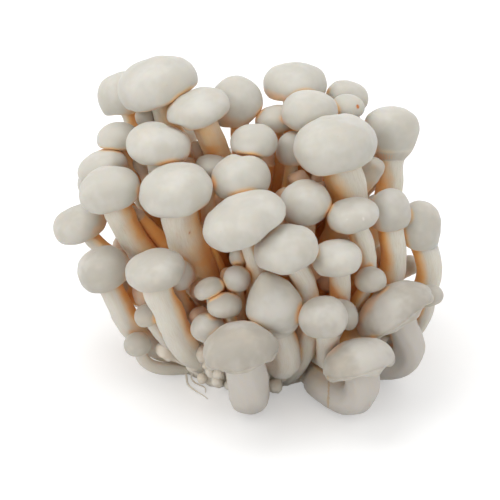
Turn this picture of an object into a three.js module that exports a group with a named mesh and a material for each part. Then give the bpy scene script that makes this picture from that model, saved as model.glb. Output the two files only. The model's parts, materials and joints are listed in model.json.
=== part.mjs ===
// A bunch of white shimeji mushrooms, standing on the flat cut of the clump it grew from.
// Millimetres, +Z up. The front of the bunch faces -Y. Every mushroom is one closed solid,
// cap and stem together, and the stems grow out of a domed base clump.

import * as THREE from 'three';

// ---- driving dimensions ----

const GAP = 0.35;              // clear space between pieces that press on each other
const GROUND_CLEARANCE = 0.5;  // nothing but the clump's cut face reaches the ground
const HEART = new THREE.Vector3(0, -4, 8);  // the point that the stems fan out from

// The clump: a dome of rings and sides, dimpled inwards by two crossing waves.
const CLUMP = { radius: 25, height: 19, sides: 26, rings: 7 };
const DIMPLE = { depth: 1.2, firstWave: [1.9, 2.3], secondWave: [1.3, -0.7] };

// Stems: points of the centre line, and steps of the skin from foot to neck. The foot's width
// and the swelling are fractions of the stem's width; the ends are fractions of its length.
const STEM = {
  points: 9, plainRings: 5, routedRings: 9,
  foot: 0.74, footEnds: 0.34, swell: 0.06, swellEnds: 0.77,
};

// Where a stem roots: its rise on the clump follows how far it fans out. It runs straight out
// of the clump and straight into the cap for these fractions of its reach.
const ROOT = { fan: 0.95, lowest: 14, highest: 84, straightOut: 0.22, straightIn: 0.30 };

// Cap proportions, as fractions of the cap's radius (across) or of its height (along the axis).
const TALL = 0.54;             // height over width, where a mushroom has no value of its own
const SMALL_CAP = 12;          // caps narrower than this get fewer columns
const COLUMNS = { small: 8, large: 10 };
const COLLAR = 0.3;            // how far a cap's underside stands proud of the stem's neck

// The forms a cap grows in: plain; open, with its rim spread out; pointed; and funnel, whose
// underside runs on down the stem. widestAt is the widest ring's height above the lowest one.
// A profile is its rings, as [radius, height below (-) or above (+) the widest ring]. neck is
// where the stem meets the cap, as a height in the same measure.
const ROUND_TOP = [[0.93, 0.38], [0.73, 0.71], [0.40, 0.93]];
const POINTED_TOP = [[0.84, 0.34], [0.57, 0.65], [0.27, 0.89]];
const ROLLED_RIM = [[0.60, -0.64], [0.83, -0.97], [0.965, -0.56], [1, 0]];
const FUNNEL_SIDE = [[0.56, -1], [0.76, -0.80], [0.93, -0.42], [1, 0]];
const FORMS = {
  plain: { widestAt: 0.38, profile: [...ROLLED_RIM, ...ROUND_TOP], neck: -0.42 },
  open: { widestAt: 0.20, profile: [...ROLLED_RIM, ...ROUND_TOP], neck: -0.30 },
  pointed: { widestAt: 0.45, profile: [...FUNNEL_SIDE, ...POINTED_TOP], neck: -1.1 },
  funnel: { widestAt: 0.60, profile: [...FUNNEL_SIDE, ...ROUND_TOP], neck: -1.1 },
};
const OUTLINE_WAVES = [        // a cap isn't quite round: slow waves, different on each mushroom
  { lobes: 2, depth: 0.022, phase: 1.7 },
  { lobes: 3, depth: 0.014, phase: 2.9 },
];

// Each mushroom: the middle of its cap's widest ring, the cap's width, its height over its
// width (tall), its lean in degrees as [towards +X, towards the front], and the stem's width.
// via lists points that the stem's centre line passes on its way down; root is where it meets
// the clump, as [heading, rise] in degrees; foot is the stem's width there.
const MUSHROOMS = [
  // the crown, from left to right and from back to front
  { name: 'crown_01', cap: [-28.5, 14, 86], across: 25, tall: 0.5, lean: [-12, 0], stem: 8.5 },
  { name: 'crown_02', cap: [-39.5, 26, 78], across: 17, tall: 0.7, lean: [-10, -4], stem: 6 },
  { name: 'crown_03', cap: [-16.5, 3, 82], across: 20, tall: 0.44, lean: [-20, 0], stem: 8,
    via: [[-12, 3, 72], [-9.5, 3, 61]] },
  { name: 'crown_04', cap: [-4.2, 16, 79], across: 17, tall: 0.8, lean: [-10, 2], stem: 6.5 },
  { name: 'crown_05', cap: [14.3, 22, 83], across: 20, tall: 0.5, lean: [2, -2], stem: 7.5 },
  { name: 'crown_06', cap: [30.5, 25, 78], across: 13.5, tall: 0.58, lean: [8, -4], stem: 5.5,
    via: [[34.5, 10, 67], [36, 9, 57]] },
  { name: 'crown_07', cap: [29.5, 12, 79.5], across: 10.5, tall: 0.52, lean: [4, 2], stem: 4.5 },
  { name: 'crown_08', cap: [18.8, 6, 79.5], across: 17.5, tall: 0.56, lean: [0, 2], stem: 7 },
  { name: 'crown_09', cap: [8.5, 12, 75.5], across: 13, tall: 0.5, lean: [-6, 2], stem: 5 },
  { name: 'crown_10', cap: [24.8, -9.5, 76.2], across: 25, tall: 0.55, lean: [-12, 0], stem: 12,
    via: [[28.5, -8, 65], [31, -7, 55], [27, -7, 38]] },
  { name: 'crown_11', cap: [44, 12, 73], across: 17.5, tall: 0.9, lean: [2, -16],
    form: 'funnel', stem: 8.5,
    via: [[44.5, 10, 61], [44.5, 8, 51], [41, 5, 41]] },
  { name: 'crown_12', cap: [1, -5, 74], across: 14.5, tall: 0.57, lean: [0, 4], stem: 6 },
  { name: 'crown_13', cap: [13, 2, 69], across: 9.6, tall: 1.0, lean: [0, 2], stem: 4.5 },
  { name: 'crown_14', cap: [-27.5, -5, 74], across: 19.5, tall: 0.5, lean: [4, 4], stem: 8 },
  { name: 'crown_15', cap: [-41.3, 9, 69.5], across: 13.5, tall: 0.52, lean: [-8, 2], stem: 5.5 },
  { name: 'crown_16', cap: [-45, 3, 63.5], across: 16, tall: 0.48, lean: [-22, 0], stem: 6 },

  // the front face below the crown
  { name: 'middle_01', cap: [-42.5, -13, 62.5], across: 18.5, tall: 0.57, lean: [-14, 4], stem: 8.5,
    via: [[-38.5, -9, 49], [-34, -7.5, 39]] },
  { name: 'middle_02', cap: [-22, -21, 65.5], across: 22.5, tall: 0.51, lean: [-13, 4], stem: 11.5,
    via: [[-20.5, -18, 50], [-17, -16, 38]], foot: 8 },
  { name: 'middle_03', cap: [-11, -4, 66], across: 11, tall: 0.46, lean: [6, 2], stem: 7,
    via: [[-11.5, -7, 52], [-11, -8, 38]] },
  { name: 'middle_04', cap: [-2.8, -15, 66.5], across: 17.5, tall: 0.64, lean: [-4, 4], stem: 8 },
  { name: 'middle_05', cap: [-2, -32, 61.5], across: 25.5, tall: 0.42, lean: [-24, 0], stem: 6.5,
    via: [[1.5, -31, 51], [2, -29, 42], [2, -26, 32]] },
  { name: 'middle_06', cap: [17.5, -20, 60.5], across: 16, tall: 0.68, lean: [-4, 4], stem: 6.5 },
  { name: 'middle_07', cap: [29.5, -24, 59], across: 15.8, tall: 0.46, lean: [-10, 2], stem: 6.2,
    via: [[32.5, -22, 51], [36, -21, 44], [36, -20, 36]] },
  { name: 'middle_08', cap: [42.3, -14, 55.5], across: 12.5, tall: 0.93, lean: [-4, 4], stem: 8,
    via: [[44, -14, 46], [45.5, -14, 37], [42, -13, 26]] },
  { name: 'middle_09', cap: [10.2, -38, 54.3], across: 19.3, tall: 0.54, lean: [-12, 4], stem: 7.6,
    via: [[14.5, -35, 41], [19.5, -31, 27], [19.5, -27.5, 13]], root: [-55, 12], foot: 6.5 },
  { name: 'middle_10', cap: [25.5, -34, 49.5], across: 15.5, tall: 0.49, lean: [-6, 4], stem: 6.5,
    via: [[27.5, -31, 38], [26, -27, 26]] },

  // leaning out of the sides
  { name: 'left_01', cap: [-52.8, -2, 46], across: 17, tall: 0.53, lean: [-18, 0], stem: 5,
    via: [[-46, -4, 39], [-40, -5, 33]] },
  { name: 'left_02', cap: [-44.5, -18, 38], across: 16.2, tall: 0.68, lean: [-22, 4], stem: 7.5,
    via: [[-40.5, -18, 26], [-36.5, -16.5, 16], [-29, -15, 8.5]], root: [208, 12] },
  { name: 'left_03', cap: [-28, -34, 45.5], across: 18.3, tall: 0.46, lean: [-12, 4], stem: 9,
    via: [[-25, -32, 32], [-22.5, -29, 22], [-20, -24, 13]], root: [228, 20] },
  { name: 'left_04', cap: [-22.5, -26, 40], across: 12, tall: 0.62, lean: [0, 4], stem: 5 },
  { name: 'right_01', cap: [51.8, -8, 47.3], across: 13.5, tall: 1.05, lean: [4, -2], stem: 8,
    via: [[57.5, -9.5, 36], [57, -10.5, 28], [48, -11, 18]] },
  { name: 'right_02', cap: [43.6, -30, 29], across: 25, tall: 0.43, lean: [-34, -14], stem: 9.4,
    form: 'open',
    via: [[48, -27, 21], [51, -24, 12.5], [48.5, -20, 6], [40, -17, 5.5]], root: [-34, 8] },
  { name: 'right_03', cap: [54, -21, 30.5], across: 10, tall: 0.5, lean: [-14, -4], stem: 5,
    via: [[53.5, -18, 20], [49, -15, 12]], root: [-22, 12] },

  // low in front, with their feet near the ground
  { name: 'front_01', cap: [6, -41.4, 36.2], across: 17, tall: 1.18, lean: [-14, 6], stem: 8,
    form: 'pointed',
    via: [[11, -38.5, 18.5], [11.5, -33, 12.5]], root: [-70, 24] },
  { name: 'front_02', cap: [21.4, -45, 35.5], across: 14.2, tall: 0.68, lean: [-6, 4], stem: 7,
    via: [[25.5, -42, 26], [24.5, -37, 18]], root: [-48, 26] },
  { name: 'front_03', cap: [26, -37, 32], across: 11.5, tall: 0.7, lean: [4, 2], stem: 5 },
  { name: 'front_04', cap: [32, -48, 21.5], across: 22.5, tall: 0.42, lean: [-14, -16], stem: 10,
    form: 'open',
    via: [[34.5, -46, 13], [33, -45.5, 6], [25, -37, 5.5]], root: [-50, 10], foot: 8 },
  { name: 'front_05', cap: [-2.3, -50.2, 28.6], across: 22, tall: 0.46, lean: [-8, 0], stem: 11.5,
    form: 'open',
    via: [[0, -46, 16], [0, -44, 7.5], [0, -35, 6.5]], root: [-90, 14], foot: 8 },

  // small young ones
  { name: 'button_01', cap: [36, -28, 39.5], across: 9.5, tall: 0.6, lean: [-4, 8], stem: 4.5 },
  { name: 'button_02', cap: [-11.8, -40, 29], across: 10.5, tall: 0.6, lean: [-4, 8], stem: 5 },
  { name: 'button_03', cap: [-12, -34, 39.5], across: 9.5, tall: 0.44, lean: [-18, 4], stem: 4 },
  { name: 'button_04', cap: [-7.5, -38, 36], across: 10.5, tall: 0.5, lean: [0, 4], stem: 4.5 },
  { name: 'button_05', cap: [-4, -33, 42], across: 8, tall: 0.85, lean: [0, 6], stem: 4 },
  { name: 'button_06', cap: [-3.5, -28, 47], across: 5.5, tall: 1.05, lean: [0, 4], stem: 3.5 },
  { name: 'button_07', cap: [-31, -27, 27], across: 8.2, tall: 0.62, lean: [-12, 6], stem: 4,
    via: [[-27.5, -24.5, 20], [-24, -21.5, 13.5]], root: [222, 24] },
  { name: 'button_08', cap: [-34.5, -23, 15], across: 8.4, tall: 0.72, lean: [-16, 4], stem: 3.8,
    via: [[-33.5, -22, 9], [-29.5, -20, 5]], root: [218, 6] },

  // the far side
  { name: 'back_01', cap: [-27, 34, 61], across: 20, lean: [-12, -22], stem: 7.5 },
  { name: 'back_02', cap: [-12, 41, 47], across: 22, lean: [-4, -28], stem: 8 },
  { name: 'back_03', cap: [13, 38, 61], across: 20, lean: [6, -22], stem: 7.5 },
  { name: 'back_04', cap: [36, 30, 60], across: 19, lean: [18, -18], stem: 7.5 },
  { name: 'back_05', cap: [-47, 20, 52], across: 17, lean: [-26, -12], stem: 6.5 },
  { name: 'back_06', cap: [-36, 36, 42], across: 17, lean: [-20, -28], stem: 7 },
  { name: 'back_07', cap: [-24, 43, 29], across: 20, lean: [-12, -34], stem: 7.5 },
  { name: 'back_08', cap: [6, 44, 42], across: 15, lean: [4, -30], stem: 6.5 },
  { name: 'back_09', cap: [28, 40, 41], across: 21, lean: [14, -30], stem: 7.5 },
  { name: 'back_10', cap: [46, 25, 36], across: 16, lean: [28, -16], stem: 6.5 },
  { name: 'back_11', cap: [2, 43, 22], across: 16, lean: [0, -36], stem: 6 },
  { name: 'back_12', cap: [-48, 8, 27], across: 13, lean: [-34, -6], stem: 5.5 },
  { name: 'back_13', cap: [29, 35, 21], across: 15, lean: [26, -30], stem: 6 },
];

// ---- the base clump ----

// The clump's ideal skin is half an ellipsoid; negative inside it, positive outside.
function clumpDistance(point) {
  const { radius, height } = CLUMP;
  const scaled = new THREE.Vector3(point.x / radius, point.y / radius, point.z / height);
  const slope = new THREE.Vector3(scaled.x / radius, scaled.y / radius, scaled.z / height);
  const size = scaled.length();
  return size * (size - 1) / Math.max(slope.length(), 1e-6);
}

function clumpNormal(point) {
  const { radius, height } = CLUMP;
  return new THREE.Vector3(point.x / radius ** 2, point.y / radius ** 2, point.z / height ** 2)
    .normalize();
}

// The point of the clump's skin at a heading (from +X, towards +Y) and a rise above the ground.
function clumpPoint(heading, rise) {
  const turn = THREE.MathUtils.degToRad(heading);
  const lift = THREE.MathUtils.degToRad(rise);
  return new THREE.Vector3(
    CLUMP.radius * Math.cos(lift) * Math.cos(turn),
    CLUMP.radius * Math.cos(lift) * Math.sin(turn),
    CLUMP.height * Math.sin(lift));
}

// ---- a mushroom's skeleton: its cap's frame and its stem's centre line ----

function capFrame(spec) {
  const [side, front] = spec.lean.map(THREE.MathUtils.degToRad);
  const axis = new THREE.Vector3(Math.tan(side), -Math.tan(front), 1).normalize();
  const turn = new THREE.Quaternion().setFromUnitVectors(new THREE.Vector3(0, 0, 1), axis);
  const across = new THREE.Vector3(1, 0, 0).applyQuaternion(turn);
  const along = new THREE.Vector3(0, 1, 0).applyQuaternion(turn);
  const height = spec.across * (spec.tall ?? TALL);
  const radius = spec.across / 2;
  const form = FORMS[spec.form ?? 'plain'];
  const below = height * form.widestAt;
  const above = height - below;
  const middle = new THREE.Vector3(...spec.cap);
  return { axis, across, along, radius, below, above, form, middle };
}

function neckOf(cap) {
  return cap.middle.clone().addScaledVector(cap.axis, cap.form.neck * cap.below);
}

function rootOf(spec, cap) {
  if (spec.root) return clumpPoint(...spec.root);
  const reach = cap.middle.clone().sub(HEART);
  const heading = THREE.MathUtils.radToDeg(Math.atan2(reach.y, reach.x));
  const fan = THREE.MathUtils.radToDeg(Math.atan2(Math.hypot(reach.x, reach.y), reach.z));
  const rise = THREE.MathUtils.clamp(90 - ROOT.fan * fan, ROOT.lowest, ROOT.highest);
  return clumpPoint(heading, rise);
}

// A stem leaves the clump square to its skin, passes its via points and enters the cap along
// the cap's axis.
function stemLine(spec, cap) {
  const root = rootOf(spec, cap);
  const neck = neckOf(cap);
  const reach = root.distanceTo(neck);
  const route = spec.via
    ? spec.via.map(place => new THREE.Vector3(...place)).reverse()
    : [
      root.clone().addScaledVector(clumpNormal(root), ROOT.straightOut * reach),
      neck.clone().addScaledVector(cap.axis, -ROOT.straightIn * reach),
    ];
  const curve = new THREE.CatmullRomCurve3([root, ...route, neck], false, 'centripetal');
  return curve.getSpacedPoints(STEM.points - 1);
}

// The stem swells a little below its middle and narrows to its foot and its neck.
function stemRadius(spec, along) {
  const foot = (spec.foot ?? STEM.foot * spec.stem) / 2;
  const swelling = STEM.swell * Math.sin(Math.PI * Math.min(1, along / STEM.swellEnds));
  const belly = 0.5 * spec.stem * (1 + swelling);
  return THREE.MathUtils.lerp(foot, belly, THREE.MathUtils.smoothstep(along, 0, STEM.footEnds));
}

function skeleton(spec) {
  const cap = capFrame(spec);
  const line = stemLine(spec, cap);
  const radii = line.map((_, index) => stemRadius(spec, index / (STEM.points - 1)));
  return { spec, cap, line, radii, home: cap.middle.clone(), rest: line.map(p => p.clone()) };
}

// ---- distances between mushrooms ----

// Signed distance, close to the skin, from a point to the cap's two half ellipsoids.
function capDistance(cap, point) {
  const offset = point.clone().sub(cap.middle);
  const up = offset.dot(cap.axis);
  const tall = up > 0 ? cap.above : cap.below;
  const x = offset.dot(cap.across) / cap.radius;
  const y = offset.dot(cap.along) / cap.radius;
  const z = up / tall;
  const size = Math.hypot(x, y, z);
  const slope = Math.hypot(x / cap.radius, y / cap.radius, z / tall);
  return slope < 1e-9 ? -tall : size * (size - 1) / slope;
}

// Signed distance from a point to the chain of tapering capsules along a stem.
function stemDistance(mushroom, point) {
  const { line, radii } = mushroom;
  let nearest = Infinity;
  for (let k = 0; k + 1 < line.length; k++) {
    const bone = line[k + 1].clone().sub(line[k]);
    const reach = point.clone().sub(line[k]);
    const t = THREE.MathUtils.clamp(reach.dot(bone) / bone.lengthSq(), 0, 1);
    const away = reach.addScaledVector(bone, -t).length();
    nearest = Math.min(nearest, away - THREE.MathUtils.lerp(radii[k], radii[k + 1], t));
  }
  return nearest;
}

function mushroomDistance(mushroom, point) {
  return Math.min(capDistance(mushroom.cap, point), stemDistance(mushroom, point));
}

// ---- growing together: crowded stems and caps move apart ----

// Each step, an overlap is undone by a share; then caps and stems are drawn back towards their
// own places by their stays, and stems are smoothed. probe and margin are in millimetres.
const CROWD = {
  steps: 160, share: 0.45, capStay: 0.15, stemStay: 0.03, routeStay: 0.12, smooth: 0.22,
  probe: 0.05, margin: 2,
};

// How far a cap reaches from its middle in one direction.
function capReach(cap, direction) {
  const up = direction.dot(cap.axis);
  const tall = up > 0 ? cap.above : cap.below;
  const flat = Math.sqrt(Math.max(0, 1 - up * up)) / cap.radius;
  return 1 / Math.hypot(flat, up / tall);
}

function partCaps(one, other) {
  const between = other.cap.middle.clone().sub(one.cap.middle);
  const distance = between.length();
  const direction = between.divideScalar(distance);
  const reach = capReach(one.cap, direction) + capReach(other.cap, direction.clone().negate());
  const push = (reach + GAP - distance) * CROWD.share;
  if (push <= 0) return;
  const weight = other.cap.radius / (one.cap.radius + other.cap.radius);
  one.cap.middle.addScaledVector(direction, -push * weight);
  other.cap.middle.addScaledVector(direction, push * (1 - weight));
}

function capGradient(cap, point) {
  const base = capDistance(cap, point);
  const probe = axis => capDistance(cap, point.clone().addScaledVector(axis, CROWD.probe)) - base;
  return new THREE.Vector3(
    probe(new THREE.Vector3(1, 0, 0)),
    probe(new THREE.Vector3(0, 1, 0)),
    probe(new THREE.Vector3(0, 0, 1))).normalize();
}

// A stem gives way to another mushroom's cap.
function partStemFromCap(mushroom, cap) {
  mushroom.line.forEach((point, k) => {
    const overlap = mushroom.radii[k] + GAP - capDistance(cap, point);
    if (overlap > 0) point.addScaledVector(capGradient(cap, point), overlap * CROWD.share);
  });
}

// Each point of one stem and the nearest place on the other stem move apart by equal shares.
function partStems(one, other) {
  one.line.forEach((point, k) => {
    for (let m = 0; m + 1 < other.line.length; m++) {
      const start = other.line[m];
      const end = other.line[m + 1];
      const bone = end.clone().sub(start);
      const t = THREE.MathUtils.clamp(point.clone().sub(start).dot(bone) / bone.lengthSq(), 0, 1);
      const away = point.clone().sub(start).addScaledVector(bone, -t);
      const distance = Math.max(away.length(), 1e-6);
      const reach = one.radii[k] + THREE.MathUtils.lerp(other.radii[m], other.radii[m + 1], t) + GAP;
      if (distance >= reach) continue;
      away.multiplyScalar((reach - distance) * CROWD.share * 0.5 / distance);
      point.add(away);
      start.addScaledVector(away, t - 1);
      end.addScaledVector(away, -t);
    }
  });
}

// After each step a stem is smoothed, drawn back towards its own route, kept above the ground
// and out of the clump, and its two ends are put back on the clump and under the cap.
function restrain(mushroom) {
  const { cap, line, radii, rest, home } = mushroom;
  cap.middle.lerp(home, CROWD.capStay);
  const last = line.length - 1;
  const drift = cap.middle.clone().sub(home);
  const smoothed = line.map((point, k) => (k === 0 || k === last
    ? point.clone()
    : point.clone().lerp(line[k - 1].clone().add(line[k + 1]).multiplyScalar(0.5), CROWD.smooth)));
  smoothed.forEach((point, k) => {
    const own = rest[k].clone().addScaledVector(drift, k / last);
    line[k].copy(point).lerp(own, mushroom.spec.via ? CROWD.routeStay : CROWD.stemStay);
    line[k].z = Math.max(line[k].z, radii[k] + GROUND_CLEARANCE);
    const sunk = (k < 2 ? 0 : radii[k]) - clumpDistance(line[k]);
    if (k > 0 && sunk > 0) line[k].addScaledVector(clumpNormal(line[k]), sunk);
  });
  line[0].addScaledVector(clumpNormal(line[0]), -clumpDistance(line[0]));
  line[last].copy(neckOf(cap));
}

function near(one, other) {
  return one.bounds.intersectsBox(other.bounds);
}

function measure(mushroom) {
  const { cap, line } = mushroom;
  const margin = Math.max(cap.radius, mushroom.spec.stem) + CROWD.margin;
  mushroom.bounds = new THREE.Box3().setFromPoints([...line, cap.middle]).expandByScalar(margin);
}

function part(one, other) {
  partCaps(one, other);
  partStems(one, other);
  partStems(other, one);
  partStemFromCap(one, other.cap);
  partStemFromCap(other, one.cap);
}

function growTogether(mushrooms) {
  for (let step = 0; step < CROWD.steps; step++) {
    mushrooms.forEach(measure);
    mushrooms.forEach((one, i) => {
      const others = mushrooms.slice(i + 1).filter(other => near(one, other));
      others.forEach(other => part(one, other));
    });
    mushrooms.forEach(restrain);
  }
}

// ---- a mushroom's skin: rings from the foot to the top of the cap, closed by two poles ----

function ringAbout(centre, axis, first, radius, columns) {
  const along = new THREE.Vector3().crossVectors(axis, first).normalize();
  return Array.from({ length: columns }, (_, c) => {
    const turn = (2 * Math.PI * c) / columns;
    const spoke = first.clone().multiplyScalar(Math.cos(turn)).addScaledVector(along, Math.sin(turn));
    return centre.clone().addScaledVector(spoke, radius(turn));
  });
}

function capOutline(index, turn) {
  return OUTLINE_WAVES.reduce(
    (sum, { lobes, depth, phase }) => sum + depth * Math.sin(lobes * turn + phase * index), 1);
}

// Rings of the stem, from its neck down to its foot. The first spoke of each ring is carried
// over from the ring above with as little twist as possible.
function stemRows(mushroom, columns) {
  const { spec, cap, line, radii } = mushroom;
  const curve = new THREE.CatmullRomCurve3(line, false, 'centripetal');
  const rings = spec.via ? STEM.routedRings : STEM.plainRings;
  const spoke = cap.across.clone();
  let axis = cap.axis;
  const rows = [];
  for (let k = rings; k >= 0; k--) {
    const t = k / rings;
    const here = t * (line.length - 1);
    const low = Math.min(Math.floor(here), line.length - 2);
    const radius = THREE.MathUtils.lerp(radii[low], radii[low + 1], here - low);
    const centre = curve.getPoint(t);
    let next = curve.getTangent(t);
    if (k === rings) next = cap.axis.clone();
    if (k === 0) next = clumpNormal(centre);
    spoke.applyQuaternion(new THREE.Quaternion().setFromUnitVectors(axis, next)).normalize();
    axis = next;
    rows.unshift({ ring: ringAbout(centre, axis, spoke, () => radius, columns), centre });
  }
  return rows;
}

function capRows(mushroom, index, columns) {
  const { cap, radii } = mushroom;
  const least = radii[radii.length - 1] + COLLAR;
  return cap.form.profile.map(([wide, high]) => {
    const lift = high * (high > 0 ? cap.above : cap.below);
    const centre = cap.middle.clone().addScaledVector(cap.axis, lift);
    const reach = high > 0 ? wide * cap.radius : Math.max(wide * cap.radius, least);
    const radius = turn => reach * capOutline(index, turn);
    return { ring: ringAbout(centre, cap.axis, cap.across, radius, columns), centre: cap.middle };
  });
}

function shellOf(mushroom, index) {
  const { spec, cap } = mushroom;
  const columns = spec.across < SMALL_CAP ? COLUMNS.small : COLUMNS.large;
  const rows = [...stemRows(mushroom, columns), ...capRows(mushroom, index, columns)];
  const foot = rows[0].centre.clone();
  const top = cap.middle.clone().addScaledVector(cap.axis, cap.above);
  return { mushroom, columns, rows, poles: [foot, top] };
}

// ---- pressing: where two mushrooms touch, both are flattened against each other ----

// A vertex moves towards its ring's centre by at most the deepest share, found by halving.
// Edges are tried at two places and may fall short of room by slack times the gap.
const PRESS = {
  deepest: 0.9, halvings: 12, clearings: 3,
  sweeps: 14, ease: 0.12, edgeShares: [0.33, 0.67], slack: 0.4,
};

// How far inside its own territory a point is: its neighbours' skins are further away than
// its own by at least the gap.
function room(point, own, neighbours) {
  const reach = mushroomDistance(own, point);
  const gaps = neighbours.map(other => mushroomDistance(other, point) - reach - GAP);
  return Math.min(Infinity, ...gaps);
}

// The same point, moved square off the clump and up off the ground where it is too close.
function cleared(point) {
  const lifted = point.clone();
  for (let k = 0; k < PRESS.clearings; k++) {
    const sunk = GAP - clumpDistance(lifted);
    if (sunk > 0) lifted.addScaledVector(clumpNormal(lifted), sunk);
  }
  lifted.z = Math.max(lifted.z, GROUND_CLEARANCE);
  return lifted;
}

// The point nearest to a vertex, on its way to the centre of its ring, that has room.
function pressed(vertex, centre, own, neighbours) {
  if (room(vertex, own, neighbours) >= 0) return vertex;
  let inner = PRESS.deepest;
  let outer = 0;
  for (let k = 0; k < PRESS.halvings; k++) {
    const middle = (inner + outer) / 2;
    if (room(vertex.clone().lerp(centre, middle), own, neighbours) >= 0) inner = middle;
    else outer = middle;
  }
  return vertex.clone().lerp(centre, inner);
}

// Flat facets can cut a corner that their vertices clear, so where an edge has no room, its
// ends are eased inwards. Says whether anything moved.
function easeEdges(shell, neighbours) {
  const { mushroom, columns, rows } = shell;
  const moves = rows.map(({ ring }) => ring.map(() => 0));
  const tryEdge = (rowA, columnA, rowB, columnB) => {
    const a = rows[rowA].ring[columnA];
    const b = rows[rowB].ring[columnB];
    for (const share of PRESS.edgeShares) {
      if (room(a.clone().lerp(b, share), mushroom, neighbours) < -PRESS.slack * GAP) {
        moves[rowA][columnA] = PRESS.ease;
        moves[rowB][columnB] = PRESS.ease;
      }
    }
  };
  rows.forEach((_, r) => {
    for (let c = 0; c < columns; c++) {
      const next = (c + 1) % columns;
      tryEdge(r, c, r, next);
      if (r + 1 < rows.length) {
        tryEdge(r, c, r + 1, c);
        tryEdge(r, c, r + 1, next);
      }
    }
  });
  let moved = false;
  rows.forEach(({ ring, centre }, r) => ring.forEach((vertex, c) => {
    if (moves[r][c] > 0 && r > 0) {
      vertex.lerp(centre, moves[r][c]);
      moved = true;
    }
  }));
  return moved;
}

function press(shells) {
  shells.forEach(({ mushroom }) => measure(mushroom));
  for (const shell of shells) {
    const own = shell.mushroom;
    const neighbours = shells.map(h => h.mushroom).filter(other => other !== own && near(own, other));
    for (const row of shell.rows) {
      row.ring = row.ring.map(vertex => pressed(vertex, row.centre, own, neighbours));
    }
    let sweeps = 0;
    while (sweeps < PRESS.sweeps && easeEdges(shell, neighbours)) sweeps += 1;
    for (const row of shell.rows) row.ring = row.ring.map(cleared);
    const [foot, top] = shell.poles;
    const sole = shell.rows[0].ring;
    foot.copy(sole.reduce((sum, p) => sum.add(p), new THREE.Vector3()).divideScalar(sole.length));
    const clear = GAP - clumpDistance(foot);
    if (clear > 0) foot.addScaledVector(clumpNormal(foot), clear);
    top.copy(pressed(top, own.cap.middle, own, neighbours));
  }
}

// ---- meshes ----

// Closed surface from rings of equal size, with a fan to a pole at each end.
function ringsGeometry(rings, foot, top) {
  const columns = rings[0].length;
  const points = [foot, ...rings.flat(), top];
  const topIndex = points.length - 1;
  const at = (row, column) => 1 + row * columns + (column % columns);
  const triangles = [];
  for (let c = 0; c < columns; c++) {
    triangles.push(0, at(0, c + 1), at(0, c));
    for (let r = 0; r + 1 < rings.length; r++) {
      triangles.push(at(r, c), at(r, c + 1), at(r + 1, c + 1));
      triangles.push(at(r, c), at(r + 1, c + 1), at(r + 1, c));
    }
    triangles.push(at(rings.length - 1, c), at(rings.length - 1, c + 1), topIndex);
  }
  const geometry = new THREE.BufferGeometry().setFromPoints(points);
  geometry.setIndex(triangles);
  geometry.computeVertexNormals();
  return geometry;
}

function mushroomMesh(shell) {
  const [foot, top] = shell.poles;
  const geometry = ringsGeometry(shell.rows.map(row => row.ring), foot, top);
  const flesh = new THREE.MeshStandardMaterial({ color: 0xdcd9cd, roughness: 0.5, metalness: 0 });
  const mesh = new THREE.Mesh(geometry, flesh);
  mesh.name = shell.mushroom.spec.name;
  return mesh;
}

// The clump: a low dome, dimpled inwards only, on a flat cut.
function clumpMesh() {
  const { sides, rings, radius } = CLUMP;
  const { depth, firstWave, secondWave } = DIMPLE;
  const rows = [];
  for (let r = 0; r < rings; r++) {
    const rise = (90 * r) / rings;
    rows.push(Array.from({ length: sides }, (_, c) => {
      const heading = (360 * c) / sides;
      const point = clumpPoint(heading, rise);
      const first = Math.sin(firstWave[0] * c + firstWave[1] * r);
      const second = Math.cos(secondWave[0] * c + secondWave[1] * r);
      const shrink = 1 - depth * (0.5 + 0.5 * first * second) / radius;
      return new THREE.Vector3(point.x * shrink, point.y * shrink, r === 0 ? 0 : point.z * shrink);
    }));
  }
  const geometry = ringsGeometry(rows, new THREE.Vector3(0, 0, 0), clumpPoint(0, 90));
  const root = new THREE.MeshStandardMaterial({ color: 0xc9b99a, roughness: 0.8, metalness: 0 });
  const mesh = new THREE.Mesh(geometry, root);
  mesh.name = 'base_clump';
  return mesh;
}

// ---- the bunch ----

function bunch() {
  const mushrooms = MUSHROOMS.map(skeleton);
  growTogether(mushrooms);
  const shells = mushrooms.map(shellOf);
  press(shells);
  const group = new THREE.Group();
  group.add(clumpMesh(), ...shells.map(mushroomMesh));
  const middle = new THREE.Box3().setFromObject(group, true).getCenter(new THREE.Vector3());
  group.position.set(-middle.x, -middle.y, 0);
  return group;
}

const group = bunch();
export default group;
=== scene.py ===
"""Fine surfaces, finishes and studio for a bunch of white shimeji mushrooms.

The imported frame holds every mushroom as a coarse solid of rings.  This script reads those
rings, carries a smooth skin through them and adds what the real flesh shows: gills under the
caps, fibres along the stems and blemishes.  It also works out the knobbly clump at the foot,
the young pins on it, the slender stems inside and the loose threads.  Lengths are in metres
unless a docstring says mm.
"""

import json
import logging
from collections.abc import Iterator
from dataclasses import astuple, dataclass, field
from enum import Enum

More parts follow.
